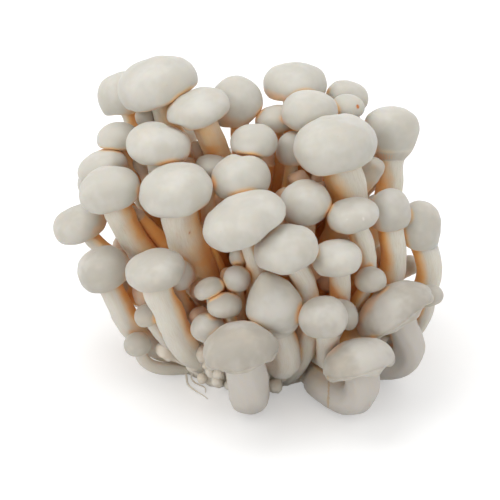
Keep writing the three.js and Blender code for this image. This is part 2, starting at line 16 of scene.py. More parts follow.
import bpy
import numpy as np
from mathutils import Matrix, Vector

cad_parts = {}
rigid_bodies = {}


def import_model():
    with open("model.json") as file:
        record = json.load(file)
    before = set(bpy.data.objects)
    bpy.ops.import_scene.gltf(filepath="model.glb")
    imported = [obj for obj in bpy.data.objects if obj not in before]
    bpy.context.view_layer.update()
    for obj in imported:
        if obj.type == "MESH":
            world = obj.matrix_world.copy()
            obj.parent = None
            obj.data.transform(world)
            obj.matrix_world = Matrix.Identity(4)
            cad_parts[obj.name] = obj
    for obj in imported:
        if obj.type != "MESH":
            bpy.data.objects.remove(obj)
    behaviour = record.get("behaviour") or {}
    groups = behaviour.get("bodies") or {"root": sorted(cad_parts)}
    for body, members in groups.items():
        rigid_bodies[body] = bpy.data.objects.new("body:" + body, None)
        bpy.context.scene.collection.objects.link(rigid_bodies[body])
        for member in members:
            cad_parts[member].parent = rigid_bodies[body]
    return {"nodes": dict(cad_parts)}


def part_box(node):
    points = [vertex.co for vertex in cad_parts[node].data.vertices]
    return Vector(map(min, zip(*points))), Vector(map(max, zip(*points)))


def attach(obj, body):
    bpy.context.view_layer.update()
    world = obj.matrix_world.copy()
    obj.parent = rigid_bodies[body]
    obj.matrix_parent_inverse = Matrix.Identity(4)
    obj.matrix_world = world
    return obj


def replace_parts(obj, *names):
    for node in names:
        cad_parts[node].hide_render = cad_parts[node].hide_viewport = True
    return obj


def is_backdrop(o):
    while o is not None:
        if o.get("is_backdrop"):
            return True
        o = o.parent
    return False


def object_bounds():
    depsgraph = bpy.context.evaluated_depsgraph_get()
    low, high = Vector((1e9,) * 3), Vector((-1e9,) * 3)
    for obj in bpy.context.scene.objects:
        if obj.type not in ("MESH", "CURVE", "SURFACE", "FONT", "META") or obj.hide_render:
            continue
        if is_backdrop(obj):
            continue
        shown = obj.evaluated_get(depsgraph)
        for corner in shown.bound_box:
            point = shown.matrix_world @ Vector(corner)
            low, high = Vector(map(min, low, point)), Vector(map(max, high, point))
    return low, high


bpy.data.batch_remove(list(bpy.data.objects))
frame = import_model()
FRAME_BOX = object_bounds()

Array = np.ndarray
Colour = tuple[float, float, float]
Place = tuple[float, float, float]
Socket = bpy.types.NodeSocket

MM = 0.001
MICRON = MM * 0.001
TURN = 2 * np.pi
BODY = "root"
CLUMP = "base_clump"
CAP_ROWS = 7  # rings of a packed cap, from its underside to near its top
WIDEST = 3  # the widest of them, counted from 0


# ---- curves and surfaces as arrays ----


def full_turn(count: int) -> Array:
    """Angles of evenly spaced columns, from 0 on."""
    return TURN * np.arange(count) / count


def blocks(count: int, size: int) -> list[Array]:
    """The numbers below count in blocks of about one size, which keep big tables small."""
    return np.array_split(np.arange(count), count // size + 1)


def through(knots: Array, samples: Array) -> Array:
    """Weights of a smooth curve through values at uneven knots.

    Between two knots the curve is the Hermite cubic.  Its slope at a knot is the mean of the
    two chords that meet there, each weighted by the other chord's length.

    Args:
        knots: rising parameters of the rows, one for each value.
        samples: parameters at which the curve is wanted.

    Returns:
        An array of samples x knots that multiplies the values.
    """
    count = len(knots)
    one = np.eye(count)
    gaps = np.diff(knots)
    chords = (one[1:] - one[:-1]) / gaps[:, None]
    slopes = np.empty((count, count))
    slopes[0], slopes[-1] = chords[0], chords[-1]
    both = (gaps[:-1] + gaps[1:])[:, None]
    slopes[1:-1] = (gaps[1:, None] * chords[:-1] + gaps[:-1, None] * chords[1:]) / both
    piece = np.clip(np.searchsorted(knots, samples, side="right") - 1, 0, count - 2)
    gap = gaps[piece][:, None]
    t = (samples - knots[piece])[:, None] / gap
    return (
        (2 * t**3 - 3 * t**2 + 1) * one[piece]
        + (t**3 - 2 * t**2 + t) * gap * slopes[piece]
        + (3 * t**2 - 2 * t**3) * one[piece + 1]
        + (t**3 - t**2) * gap * slopes[piece + 1]
    )


def around(columns: int, turns: Array) -> Array:
    """Weights of a smooth closed curve through evenly spaced columns.

    The curve is the sum of the waves that the columns hold, 1 + 2 sum of cos(k x), with the
    quicker waves softened so that a pressed side stays round at its ends.

    Args:
        columns: how many values stand evenly round the ring, an even number.
        turns: angles in radians at which the curve is wanted.

    Returns:
        An array of turns x columns that multiplies the values.
    """
    angle = turns[:, None] - full_turn(columns)
    waves = np.arange(1, columns // 2 + 1)
    share = 2 * np.clip(1.60 - 0.24 * waves, 0.3, 1.0)
    share[-1] /= 2
    return (1 + (share * np.cos(angle[..., None] * waves)).sum(-1)) / columns


def smoothstep(low: float, high: float, value: Array) -> Array:
    """The S-shaped step 3t^2 - 2t^3, which rises from 0 at low to 1 at high."""
    t = np.clip((value - low) / (high - low), 0.0, 1.0)
    return t * t * (3 - 2 * t)


def lumps(points: Array, length: float, seed: int, waves: int = 9) -> Array:
    """Slow random lumps: the mean of sine waves of one length in random directions.

    Args:
        points: places, with three coordinates in the last axis.
        length: the waves' length.
        seed: picks the directions and phases.
        waves: how many waves are added.

    Returns:
        Heights of about -1 to 1, one for each place.
    """
    rng = np.random.default_rng(seed)
    heading = rng.normal(size=(3, waves))
    heading /= np.linalg.norm(heading, axis=0)
    stretch = rng.uniform(0.7, 1.4, waves)
    phase = rng.uniform(0, TURN, waves)
    return np.sin(points @ heading * stretch * TURN / length + phase).sum(-1) / np.sqrt(waves)


def unit(vectors: Array) -> Array:
    """The vectors, scaled to a length of one."""
    return vectors / np.maximum(np.linalg.norm(vectors, axis=-1, keepdims=True), 1e-12)


def spokes(line: Array, across: Place, columns: int) -> Array:
    """Unit vectors square to a line, fanned out round each of its points.

    At the angle a the spoke is side cos a + front sin a.  The side is square to the line and to
    one chosen direction, and the front is square to both.

    Args:
        line: points of the line, n x 3.
        across: the chosen direction.
        columns: how many spokes go round.

    Returns:
        An array of n x columns x 3.
    """
    axis = unit(np.gradient(line, axis=0))
    side = unit(np.cross(axis, across))
    front = np.cross(axis, side)
    turns = full_turn(columns)[:, None]
    return side[:, None] * np.cos(turns) + front[:, None] * np.sin(turns)


def grid_faces(rows: int, columns: int, start: int) -> Array:
    """Quads of a closed band of rings.

    Args:
        rows: how many rings there are.
        columns: how many vertices each ring has.
        start: number of the first vertex; they are counted row by row.

    Returns:
        An array of quads.
    """
    row, column = np.meshgrid(np.arange(rows - 1), np.arange(columns), indexing="ij")
    here = start + row * columns + column
    beside = start + row * columns + (column + 1) % columns
    return np.stack([here, beside, beside + columns, here + columns], -1).reshape(-1, 4)


def zip_faces(low: int, low_count: int, high: int, high_count: int) -> Array:
    """Triangles that join two rings of different counts, both starting at angle 0.

    The edges of both rings are taken in the order of their middles' angles, and each makes a
    triangle with the vertex that the other ring has reached.

    Args:
        low: number of the lower ring's first vertex.
        low_count: vertices of the lower ring.
        high: number of the upper ring's first vertex.
        high_count: vertices of the upper ring.

    Returns:
        An array of triangles.
    """
    middles = [(np.arange(count) + 0.5) / count for count in (low_count, high_count)]
    order = np.argsort(np.concatenate(middles), kind="stable")
    is_low = order < low_count
    reached_low = np.cumsum(is_low) - is_low
    reached_high = np.cumsum(~is_low) - ~is_low
    a = low + reached_low % low_count
    b = high + reached_high % high_count
    next_a = low + (reached_low + 1) % low_count
    next_b = high + (reached_high + 1) % high_count
    return np.stack([a, np.where(is_low, next_a, next_b), b], -1)


def fan_faces(ring: int, count: int, pole: int, upward: bool) -> Array:
    """Triangles from a ring to a pole, which face away from the inside of the ring.

    Args:
        ring: number of the ring's first vertex.
        count: vertices of the ring.
        pole: number of the vertex that they all meet in.
        upward: whether the pole lies above the ring or below it.

    Returns:
        An array of triangles.
    """
    here = ring + np.arange(count)
    beside = ring + (np.arange(count) + 1) % count
    pair = (here, beside) if upward else (beside, here)
    return np.stack([*pair, np.full(count, pole)], -1)


@dataclass
class Shell:
    """Vertices, faces and per-vertex values of one piece while it is put together."""

    points: list[Array] = field(default_factory=list)
    faces: list[Array] = field(default_factory=list)
    values: dict[str, list[Array]] = field(default_factory=dict)
    count: int = 0

    def add(self, points: Array, **values: Array) -> int:
        """Adds vertices with their values.

        Args:
            points: places, with three coordinates in the last axis.
            values: named values, one number or one vector for each place.

        Returns:
            The number of the first vertex added.
        """
        start = self.count
        flat = points.reshape(-1, 3)
        self.points.append(flat)
        for name, value in values.items():
            shape = flat.shape if value.ndim == points.ndim else len(flat)
            self.values.setdefault(name, []).append(value.reshape(shape))
        self.count += len(flat)
        return start

    def band(self, rings: Array, **values: Array) -> int:
        """Adds a closed band of rings with its quads.

        Args:
            rings: places, rows x columns x 3.
            values: named values, one number or one vector for each place.

        Returns:
            The number of the first vertex added.
        """
        start = self.add(rings, **values)
        self.faces.append(grid_faces(*rings.shape[:2], start))
        return start

    def tube(self, rings: Array, poles: Array, ends: dict[str, Array], **values: Array) -> None:
        """Adds a closed band of rings, shut by a pole at its foot and one at its head.

        Args:
            rings: places, rows x columns x 3.
            poles: the places of the two poles, 2 x 3.
            ends: the named values at the two poles.
            values: the named values at the rings.
        """
        start, columns = self.band(rings, **values), rings.shape[1]
        under = self.add(poles, **ends)
        self.faces.append(fan_faces(start, columns, under, upward=False))
        self.faces.append(fan_faces(under - columns, columns, under + 1, upward=True))

    def piece(self, name: str, material: bpy.types.Material, slot: str) -> bpy.types.Object:
        """Makes the mesh object and lets it ride on the bunch.

        Args:
            name: the piece's name.
            material: its finish.
            slot: not used.

        Returns:
            The new object, which stands at the origin.
        """
        mesh = bpy.data.meshes.new(name)
        faces = [face for block in self.faces for face in block.tolist()]
        mesh.from_pydata(np.concatenate(self.points).tolist(), [], faces)
        for key, blocks in self.values.items():
            value = np.concatenate(blocks).astype(np.float32)
            kind, prop = ("FLOAT_VECTOR", "vector") if value.ndim == 2 else ("FLOAT", "value")
            mesh.attributes.new(key, kind, "POINT").data.foreach_set(prop, value.ravel())
        mesh.polygons.foreach_set("use_smooth", np.ones(len(mesh.polygons), bool))
        mesh.materials.append(material)
        mesh.update()
        thing = bpy.data.objects.new(name, mesh)
        bpy.context.scene.collection.objects.link(thing)
        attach(thing, BODY)
        return thing


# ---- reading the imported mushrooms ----


def merged(node: str) -> tuple[Array, Array]:
    """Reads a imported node, with its doubled corners merged.

    Args:
        node: the node's name.

    Returns:
        The places of its corners, and its triangles as their numbers.
    """
    data = frame["nodes"][node].data
    places = np.empty(len(data.vertices) * 3)
    data.vertices.foreach_get("co", places)
    places = places.reshape(-1, 3)
    corners = np.empty(len(data.loops), np.int64)
    data.loops.foreach_get("vertex_index", corners)
    keys = np.round(places / MICRON).astype(np.int64)
    _, first, number = np.unique(keys, axis=0, return_index=True, return_inverse=True)
    return places[first], number.reshape(-1)[corners].reshape(-1, 3)


@dataclass
class Rings:
    """The rings of a packed mushroom, from its foot to its top: rows x columns x 3."""

    name: str
    rows: Array
    top: Array

    @classmethod
    def read(cls, name: str, clump: Array) -> "Rings":
        """Finds the rings in a packed mushroom's mesh.

        Its two poles are the vertices with the most triangles.  Steps along edges from the foot
        number the rings.  A triangle with two corners on one ring and one on the next gives
        the way round the ring and the vertex straight above.

        Args:
            name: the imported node.
            clump: the middle of the clump's cut face, which the foot is nearer to.

        Returns:
            The rings, all starting in the same column.
        """
        places, triangles = merged(name)
        count = len(places)
        valence = np.bincount(triangles.ravel(), minlength=count)
        poles = np.argsort(valence)[-2:]
        foot, top = poles[np.argsort(np.linalg.norm(places[poles] - clump, axis=1))]
        columns = int(valence[foot])

        linked = np.zeros((count, count), bool)
        linked[triangles[:, [0, 1, 2]], triangles[:, [1, 2, 0]]] = True
        linked |= linked.T
        level = np.full(count, -1)
        front = np.arange(count) == foot
        for step in range(count // columns + 2):
            level[front] = step
            front = linked[front].any(0) & (level < 0)

        corners = np.concatenate([np.roll(triangles, turn, axis=1) for turn in range(3)])
        first, second, third = corners.T
        rising = (level[first] == level[second]) & (level[third] == level[first] + 1)
        beside = np.arange(count)
        above = np.arange(count)
        beside[first[rising]] = second[rising]
        above[second[rising]] = third[rising]

        start = int(np.flatnonzero(level == 1)[0])
        column = [start]
        for _ in range((count - 2) // columns - 1):
            column.append(int(above[column[-1]]))
        ring = [np.array(column)]
        for _ in range(columns - 1):
            ring.append(beside[ring[-1]])
        return cls(name, places[np.stack(ring, 1)], places[top])

    @property
    def stem_rows(self) -> int:
        """How many of the rings belong to the stem, its neck included."""
        return len(self.rows) - CAP_ROWS

    def middle(self, row: int) -> Array:
        """The middle of a ring, numbered from the cap's first ring."""
        return self.rows[self.stem_rows + row].mean(0)

    def across(self, row: int) -> float:
        """The mean width of a ring, numbered from the cap's first ring."""
        spread = self.rows[self.stem_rows + row] - self.middle(row)
        return 2 * float(np.linalg.norm(spread, axis=1).mean())

    @property
    def width(self) -> float:
        """How wide the cap is."""
        return self.across(WIDEST)

    @property
    def neck_width(self) -> float:
        """How wide the stem is where it meets the cap."""
        return self.across(-1)

    @property
    def axis(self) -> Array:
        """The direction in which the cap points."""
        return unit(self.top - self.middle(0))

    @property
    def is_funnel(self) -> bool:
        """Whether the underside runs on down the stem, with no recess round its neck."""
        return bool((self.middle(-1) - self.middle(0)) @ self.axis < 0)

    @property
    def is_open(self) -> bool:
        """Whether the rim is spread out, low on the cap."""
        low, wide = self.middle(1), self.middle(WIDEST)
        return bool((wide - low) @ self.axis < 0.4 * ((self.top - wide) @ self.axis))


@dataclass(frozen=True)
class Discs:
    """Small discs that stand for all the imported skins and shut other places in."""

    places: Array
    normals: Array
    areas: Array
    block: int = 300

    @classmethod
    def of(cls, rings: list[Rings]) -> "Discs":
        """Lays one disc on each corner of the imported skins.

        A disc's normal and area are those of the cross product of two steps: the mean step
        round the ring and the mean step up the skin.

        Args:
            rings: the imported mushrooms.

        Returns:
            The discs, in single precision.
        """
        skins = [ring.rows for ring in rings]
        steps = [(np.roll(skin, -1, 1) - np.roll(skin, 1, 1)) / 2 for skin in skins]
        crosses = [np.cross(step, np.gradient(skin, axis=0)) for step, skin in zip(steps, skins)]
        places = np.concatenate([skin.reshape(-1, 3) for skin in skins])
        cross = np.concatenate([each.reshape(-1, 3) for each in crosses])
        values = (places, unit(cross), np.linalg.norm(cross, axis=-1))
        return cls(*(value.astype(np.float32) for value in values))

    def seen_from(self, spots: Array) -> Iterator[tuple[Array, Array, Array, Array]]:
        """Looks at all discs from blocks of places.

        Args:
            spots: the places, n x 3.

        Yields:
            The numbers of a block's places.  Then, for each place and disc, the step from one
            to the other, its square, and how far it goes against the disc's normal, or 0 where
            the disc shows its back.
        """
        for block in blocks(len(spots), self.block):
            away = self.places[None] - spots[block][:, None]
            far = np.einsum("ijk,ijk->ij", away, away)
            theirs = -np.einsum("ijk,jk->ij", away, self.normals)
            yield block, away, far, np.maximum(theirs, 0)

    def shelter(self, places: Array, normals: Array) -> Array:
        """How far the bunch shuts places in on the side that they face.

        What one disc hides of a place's sky is its area times both cosines over pi times the
        distance squared, and the sum s is turned into the share 1 - exp(-1.1 s).

        Args:
            places: where, with three coordinates in the last axis.
            normals: the way each place faces.

        Returns:
            Shares from 0, open, to 1, shut in, one for each place.
        """
        spots = places.reshape(-1, 3).astype(np.float32)
        facing = normals.reshape(-1, 3).astype(np.float32)
        shut = np.empty(len(spots))
        for block, away, far, theirs in self.seen_from(spots):
            far += MICRON * MM
            mine = np.einsum("ijk,ik->ij", away, facing[block])
            seen = np.maximum(mine, 0) * theirs * self.areas
            shut[block] = (seen / (far * (np.pi * far + self.areas))).sum(1)
        return (1 - np.exp(-1.1 * shut)).reshape(places.shape[:-1])

    def cover(self, places: Array) -> Array:
        """How much of all that a place looks at is the outside of some skin.

        A disc takes its area times the cosine at it over 4 pi times the distance squared.

        Args:
            places: where, n x 3.

        Returns:
            Shares of all directions, one for each place.
        """
        share = np.empty(len(places))
        for block, _, far, theirs in self.seen_from(places.astype(np.float32)):
            far += self.areas / np.pi
            share[block] = (theirs * self.areas / far**1.5).sum(1) / (4 * np.pi)
        return share


def closeness(skins: list[Array], reach: float) -> list[Array]:
    """How near each vertex of each skin is to the nearest vertex of another skin.

    Args:
        skins: the vertices of each skin, n x 3.
        reach: distances above this aren't looked for.

    Returns:
        For each skin the distances, at most reach.
    """
    every = np.concatenate(skins)
    owner = np.repeat(np.arange(len(skins)), [len(skin) for skin in skins])
    found = []
    for number, skin in enumerate(skins):
        beside = (every > skin.min(0) - reach) & (every < skin.max(0) + reach)
        others = every[beside.all(1) & (owner != number)]
        nearest = np.full(len(skin), reach)
        for block in blocks(len(skin), 400):
            mine = skin[block]
            beside = (others > mine.min(0) - reach) & (others < mine.max(0) + reach)
            theirs = others[beside.all(1)]
            if len(theirs):
                squares = (mine**2).sum(1)[:, None] + (theirs**2).sum(1) - 2 * mine @ theirs.T
                nearest[block] = np.minimum(np.sqrt(np.maximum(squares.min(1), 0)), reach)
        found.append(nearest)
    return found


# ---- finishes ----


def linear(red: int, green: int, blue: int) -> Colour:
    """Turns a colour written in 0 to 255 steps into the linear light that shaders take.

    Args:
        red: how much red it has.
        green: how much green.
        blue: how much blue.

    Returns:
        The three amounts of light, 0 to 1.
    """
    share = np.array([red, green, blue]) / 255
    light = np.where(share <= 0.04045, share / 12.92, ((share + 0.055) / 1.055) ** 2.4)
    return tuple(float(x) for x in light)


class Nodes:
    """Short forms for the few nodes that the finishes are made of."""

    def __init__(self, owner: bpy.types.ID, shader: str = "Principled BSDF") -> None:
        """Starts a new material or world.

        Args:
            owner: the material or world.
            shader: the name of its shader.
        """
        self.owner = owner
        owner.use_nodes = True
        self.tree = owner.node_tree
        self.shader = self.tree.nodes[shader]

    def node(self, kind: str, inputs: dict, **settings: object) -> bpy.types.Node:
        """Makes a node.

        Args:
            kind: its type.
            inputs: what goes into its sockets, by their names or numbers.
            settings: its other settings.

        Returns:
            The new node.
        """
        made = self.tree.nodes.new(kind)
        for key, value in settings.items():
            setattr(made, key, value)
        for key, value in inputs.items():
            self.plug(made.inputs[key], value)
        return made

    def plug(self, socket: Socket, value: object) -> None:
        """Links an output to a socket, or sets the socket to a plain value.

        Args:
            socket: the socket.
            value: the output, number or colour that it takes.
        """
        if isinstance(value, Socket):
            self.tree.links.new(value, socket)
        elif isinstance(value, tuple):
            socket.default_value = (*value, 1.0)[: len(socket.default_value)]
        else:
            socket.default_value = value

    def attribute(self, name: str, output: str = "Fac") -> Socket:
        """One of the mesh's own values."""
        return self.node("ShaderNodeAttribute", {}, attribute_name=name).outputs[output]

    def place(self) -> Socket:
        """The point's own place in the bunch."""
        return self.node("ShaderNodeTexCoord", {}).outputs["Object"]

    def noise(self, place: Socket, scale: float, detail: float, rough: float = 0.5) -> Socket:
        """Cloudy noise around 0.5, with so many waves to a metre, layers and roughness."""
        inputs = {"Vector": place, "Scale": scale, "Detail": detail, "Roughness": rough}
        return self.node("ShaderNodeTexNoise", inputs).outputs["Fac"]

    def cells(self, place: Socket, scale: float) -> Socket:
        """Distance to the nearest of scattered points, in cells, with so many to a metre."""
        inputs = {"Vector": place, "Scale": scale}
        return self.node("ShaderNodeTexVoronoi", inputs).outputs["Distance"]

    def ramp(self, value: object, low: float, high: float, *ends: float) -> Socket:
        """A smooth step.

        Args:
            value: what steps.
            low: where the step begins.
            high: where it is done, which may lie below its beginning.
            ends: the step's two ends, 0 and 1 if there are none.

        Returns:
            The step's socket.
        """
        start, end = ends or (0.0, 1.0)
        given = (value, low, high, start, end)
        inputs = dict(zip(("Value", "From Min", "From Max", "To Min", "To Max"), given))
        made = self.node("ShaderNodeMapRange", inputs, interpolation_type="SMOOTHSTEP")
        return made.outputs["Result"]

    def maths(self, operation: str, *numbers: object) -> Socket:
        """A sum, product or the like.

        Args:
            operation: what is done with two numbers.
            numbers: two or more, which are taken in pairs from the left.

        Returns:
            The result's socket.
        """
        result = numbers[0]
        for number in numbers[1:]:
            inputs = {0: result, 1: number}
            result = self.node("ShaderNodeMath", inputs, operation=operation).outputs[0]
        return result

    def blend(self, share: object, first: object, second: object) -> Socket:
        """The first colour, turning into the second as the share rises."""
        inputs = {0: share, 6: first, 7: second}
        return self.node("ShaderNodeMix", inputs, data_type="RGBA").outputs[2]

    def bump(self, height: Socket, depth: float, strength: float) -> Socket:
        """A normal tilted by a height that spans the depth."""
        inputs = {"Height": height, "Distance": depth, "Strength": strength}
        return self.node("ShaderNodeBump", inputs).outputs["Normal"]

    def finish(self, **sockets: object) -> bpy.types.ID:
        """Sets the shader's sockets.

        Args:
            sockets: what they take, each under its name with _ for a space.

        Returns:
            The finished material or world.
        """
        for key, value in sockets.items():
            self.plug(self.shader.inputs[key.replace("_", " ")], value)
        return self.owner


@dataclass(frozen=True)
class MushroomFlesh:
    """Ivory flesh: satin caps, fibrous stems, creamy gills and painted warm shade where they crowd.
    """

    cap: Colour = linear(200, 197, 187)
    # shaded_cap and shaded_stem are painted shade, taken by mushrooms low in the bunch
    shaded_cap: Colour = linear(177, 171, 160)
    stem: Colour = linear(233, 229, 216)
    shaded_stem: Colour = linear(207, 202, 196)
    gill: Colour = linear(224, 208, 182)
    foot: Colour = linear(218, 205, 184)
    fibre: Colour = linear(214, 205, 186)
    # painted_warm_shade and painted_deep_shade are painted warm shade for crevices and contacts
    painted_warm_shade: Colour = linear(246, 203, 146)
    painted_deep_shade: Colour = linear(253, 178, 98)
    speck: Colour = linear(200, 172, 134)
    blemish: Colour = linear(198, 118, 48)
    # painted_glint is a painted highlight, for spots of strength below 0
    painted_glint: Colour = linear(250, 248, 243)
    bloom: Colour = linear(224, 222, 216)

    def colour(self, n: Nodes, clouds: Socket, streaks: Socket, cap: Socket) -> Socket:
        """The flesh's colour from its band, with painted shade low in the bunch and painted warm
        shade where it crowds.

        Args:
            n: the material's nodes.
            clouds: slow noise.
            streaks: noise drawn out along the stem.
            cap: how far the place belongs to a cap.

        Returns:
            The colour socket.
        """
        tone = n.attribute("tone")
        shut = n.attribute("shelter")
        near = n.attribute("close")
        stem_only = n.maths("SUBTRACT", 1.0, cap)
        # painted shade: low mushrooms take the darker cap and stem colours
        on_cap = n.blend(tone, self.shaded_cap, self.cap)
        mottled = n.ramp(n.noise(n.place(), 85, 3, 0.6), 0.40, 0.66, 0.0, 0.42)
        on_cap = n.blend(mottled, on_cap, self.bloom)
        on_stem = n.blend(tone, self.shaded_stem, self.stem)
        colour = n.blend(cap, on_stem, on_cap)
        footing = n.ramp(n.attribute("rise"), 0.45, 0.0, 0.0, 0.40)
        colour = n.blend(n.maths("MULTIPLY", footing, stem_only), colour, self.foot)
        colour = n.blend(n.maths("MULTIPLY", n.attribute("gill"), 0.85), colour, self.gill)
        dull = n.maths("MULTIPLY", n.ramp(streaks, 0.42, 0.70, 0.0, 0.55), stem_only)
        colour = n.blend(dull, colour, self.fibre)
        colour = n.blend(n.ramp(clouds, 0.50, 0.80, 0.0, 0.25), colour, self.foot)
        dots = n.ramp(n.cells(n.place(), 420), 0.16, 0.05)
        rare = n.ramp(n.noise(n.place(), 95, 1), 0.60, 0.68)
        colour = n.blend(n.maths("MULTIPLY", dots, rare, 0.22), colour, self.speck)
        # painted warm shade where the bunch shuts a stem in, where skins touch, and deepest in
        # crevices
        crowded = n.maths("ADD", shut, n.ramp(clouds, 0.3, 0.7, -0.05, 0.05))
        painted_stem_shade = n.maths("MULTIPLY", n.ramp(crowded, 0.52, 0.90), stem_only)
        painted_contact_shade = n.maths("MULTIPLY", n.ramp(near, 1.8, 0.3), n.ramp(crowded, 0.20, 0.55))
        colour = n.blend(n.maths("MAXIMUM", painted_stem_shade, painted_contact_shade), colour, self.painted_warm_shade)
        painted_deepest_shade = n.maths("MULTIPLY", n.ramp(crowded, 0.74, 0.97), n.ramp(cap, 0.0, 1.0, 1.0, 0.5))
        return n.blend(painted_deepest_shade, colour, self.painted_deep_shade)

    def marked(self, n: Nodes, colour: Socket) -> tuple[Socket, Socket]:
        """Adds blemishes, painted highlight spots and a torn rim.

        Args:
            n: the material's nodes.
            colour: the flesh's colour.

        Returns:
            The new colour, and how far a place is torn.
        """
        spot = n.attribute("blemish")
        colour = n.blend(n.ramp(spot, 0.15, 0.9), colour, self.blemish)
        # a painted highlight where the spot is below 0
        colour = n.blend(n.ramp(spot, -0.15, -0.9), colour, self.painted_glint)
        seam = {"Vector": n.attribute("tear", "Vector")}
        across, along, _ = n.node("ShaderNodeSeparateXYZ", seam).outputs
        wobble = n.ramp(n.noise(n.place(), 1500, 2), 0.3, 0.7, -0.22, 0.22)
        away = n.maths("ABSOLUTE", n.maths("ADD", across, wobble), 0.0)
        torn = n.maths("MULTIPLY", n.ramp(away, 0.42, 0.12), n.ramp(along, 3.6, 2.2))
        return n.blend(n.maths("MULTIPLY", torn, 0.75), colour, self.speck), torn

    def material(self) -> bpy.types.Material:
        """Builds the finish.

        Caps have low swells and fine pores, and stems have ropes of fibres and are less smooth.

        Returns:
            The finish as a material.
        """
        n = Nodes(bpy.data.materials.new("mushroom_flesh"))
        place = n.place()
        cap = n.attribute("cap")
        fibre = n.attribute("fibre", "Vector")
        clouds = n.noise(place, 130, 4, 0.55)
        streaks = n.noise(fibre, 9, 4, 0.6)
        colour, torn = self.marked(n, self.colour(n, clouds, streaks, cap))

        pores = n.noise(place, 900, 3, 0.6)
        swells = n.noise(place, 210, 2)
        smooth = n.maths("ADD", n.maths("MULTIPLY", swells, 0.5), n.maths("MULTIPLY", pores, 0.08))
        ropes = n.maths("ADD", n.noise(fibre, 16, 5, 0.65), n.maths("MULTIPLY", pores, 0.15))
        on_stem = n.maths("MULTIPLY", ropes, n.maths("SUBTRACT", 1.0, cap))
        height = n.maths("ADD", n.maths("MULTIPLY", smooth, cap), on_stem)
        height = n.maths("SUBTRACT", height, torn)
        clouded = n.ramp(clouds, 0.3, 0.7, -0.04, 0.06)
        rough = n.maths("ADD", n.ramp(cap, 0.0, 1.0, 0.60, 0.44), clouded)
        return n.finish(
            Base_Color=colour,
            Roughness=rough,
            IOR=1.40,
            Sheen_Weight=0.22,
            Sheen_Roughness=0.4,
            Subsurface_Weight=0.45,
            Subsurface_Radius=(1.0, 0.64, 0.36),
            Subsurface_Scale=0.0048,
            Normal=n.bump(height, 0.25 * MM, 0.55),
        )


@dataclass(frozen=True)
class ClumpFlesh:
    """The spongy foot: pale, fuzzy and clouded tan, with painted warm shade where shut in and brown
    crumbs near the cut.
    """

    fuzz: Colour = linear(240, 233, 220)
    tan: Colour = linear(233, 219, 199)
    crumb: Colour = linear(138, 104, 72)
    # painted_warm_shade is painted warm shade where the clump is shut in
    painted_warm_shade: Colour = linear(232, 184, 132)

    def material(self) -> bpy.types.Material:
        """Builds the finish, with a coat of fine hairs over its clouds.

        Returns:
            The finish as a material.
        """
        n = Nodes(bpy.data.materials.new("clump_flesh"))
        place = n.place()
        clouds = n.noise(place, 160, 5, 0.6)
        colour = n.blend(n.ramp(clouds, 0.46, 0.74), self.fuzz, self.tan)
        # painted warm shade where the bunch shuts the clump in
        colour = n.blend(n.ramp(n.attribute("shelter"), 0.80, 1.05), colour, self.painted_warm_shade)
        crumbs = n.ramp(n.noise(place, 520, 4, 0.7), 0.60, 0.70)
        crumbs = n.maths("MULTIPLY", crumbs, n.attribute("soiled"))
        colour = n.blend(crumbs, colour, self.crumb)
        hairs = n.noise(place, 1300, 6, 0.75)
        height = n.maths("ADD", n.maths("MULTIPLY", clouds, 0.8), n.maths("MULTIPLY", hairs, 0.4))
        return n.finish(
            Base_Color=colour,
            Roughness=0.82,
            IOR=1.40,
            Sheen_Weight=0.25,
            Sheen_Roughness=0.5,
            Subsurface_Weight=0.20,
            Subsurface_Radius=(1.0, 0.80, 0.62),
            Subsurface_Scale=0.0020,
            Normal=n.bump(height, 0.6 * MM, 0.8),
        )


# ---- mushrooms ----


class Band(Enum):
    """The three bands of a mushroom's skin."""

    STEM = "stem"
    GILLS = "gills"
    CAP = "cap"


@dataclass(frozen=True)
class Spot:
    """A mark on a mushroom: the node, where it is and its size in mm, and how brown it is.

    A strength below 0 makes the spot a painted highlight, pale in colour only.
    """

    node: str
    place: Place
    size: float
    strength: float = 1.0


@dataclass(frozen=True)
class Tear:
    """A short tear in a cap's rim: the node, and its two ends in mm from the rim up."""

    node: str
    rim: Place
    tip: Place


SPOTS = (
    Spot("crown_07", (34, 13.5, 81), 1.1),
    Spot("middle_02", (-15.5, -21, 53), 0.8, 0.7),
    # strength below 0: painted highlights on middle_07
    Spot("middle_07", (29, -26, 61), 0.7, -0.4),
    Spot("middle_07", (34, -26, 61), 0.9, -0.5),
)
TEARS = (Tear("front_04", (32, -54, 18), (32, -54, 24)),)
FAR = 9.0  # mm from a tear where there is none


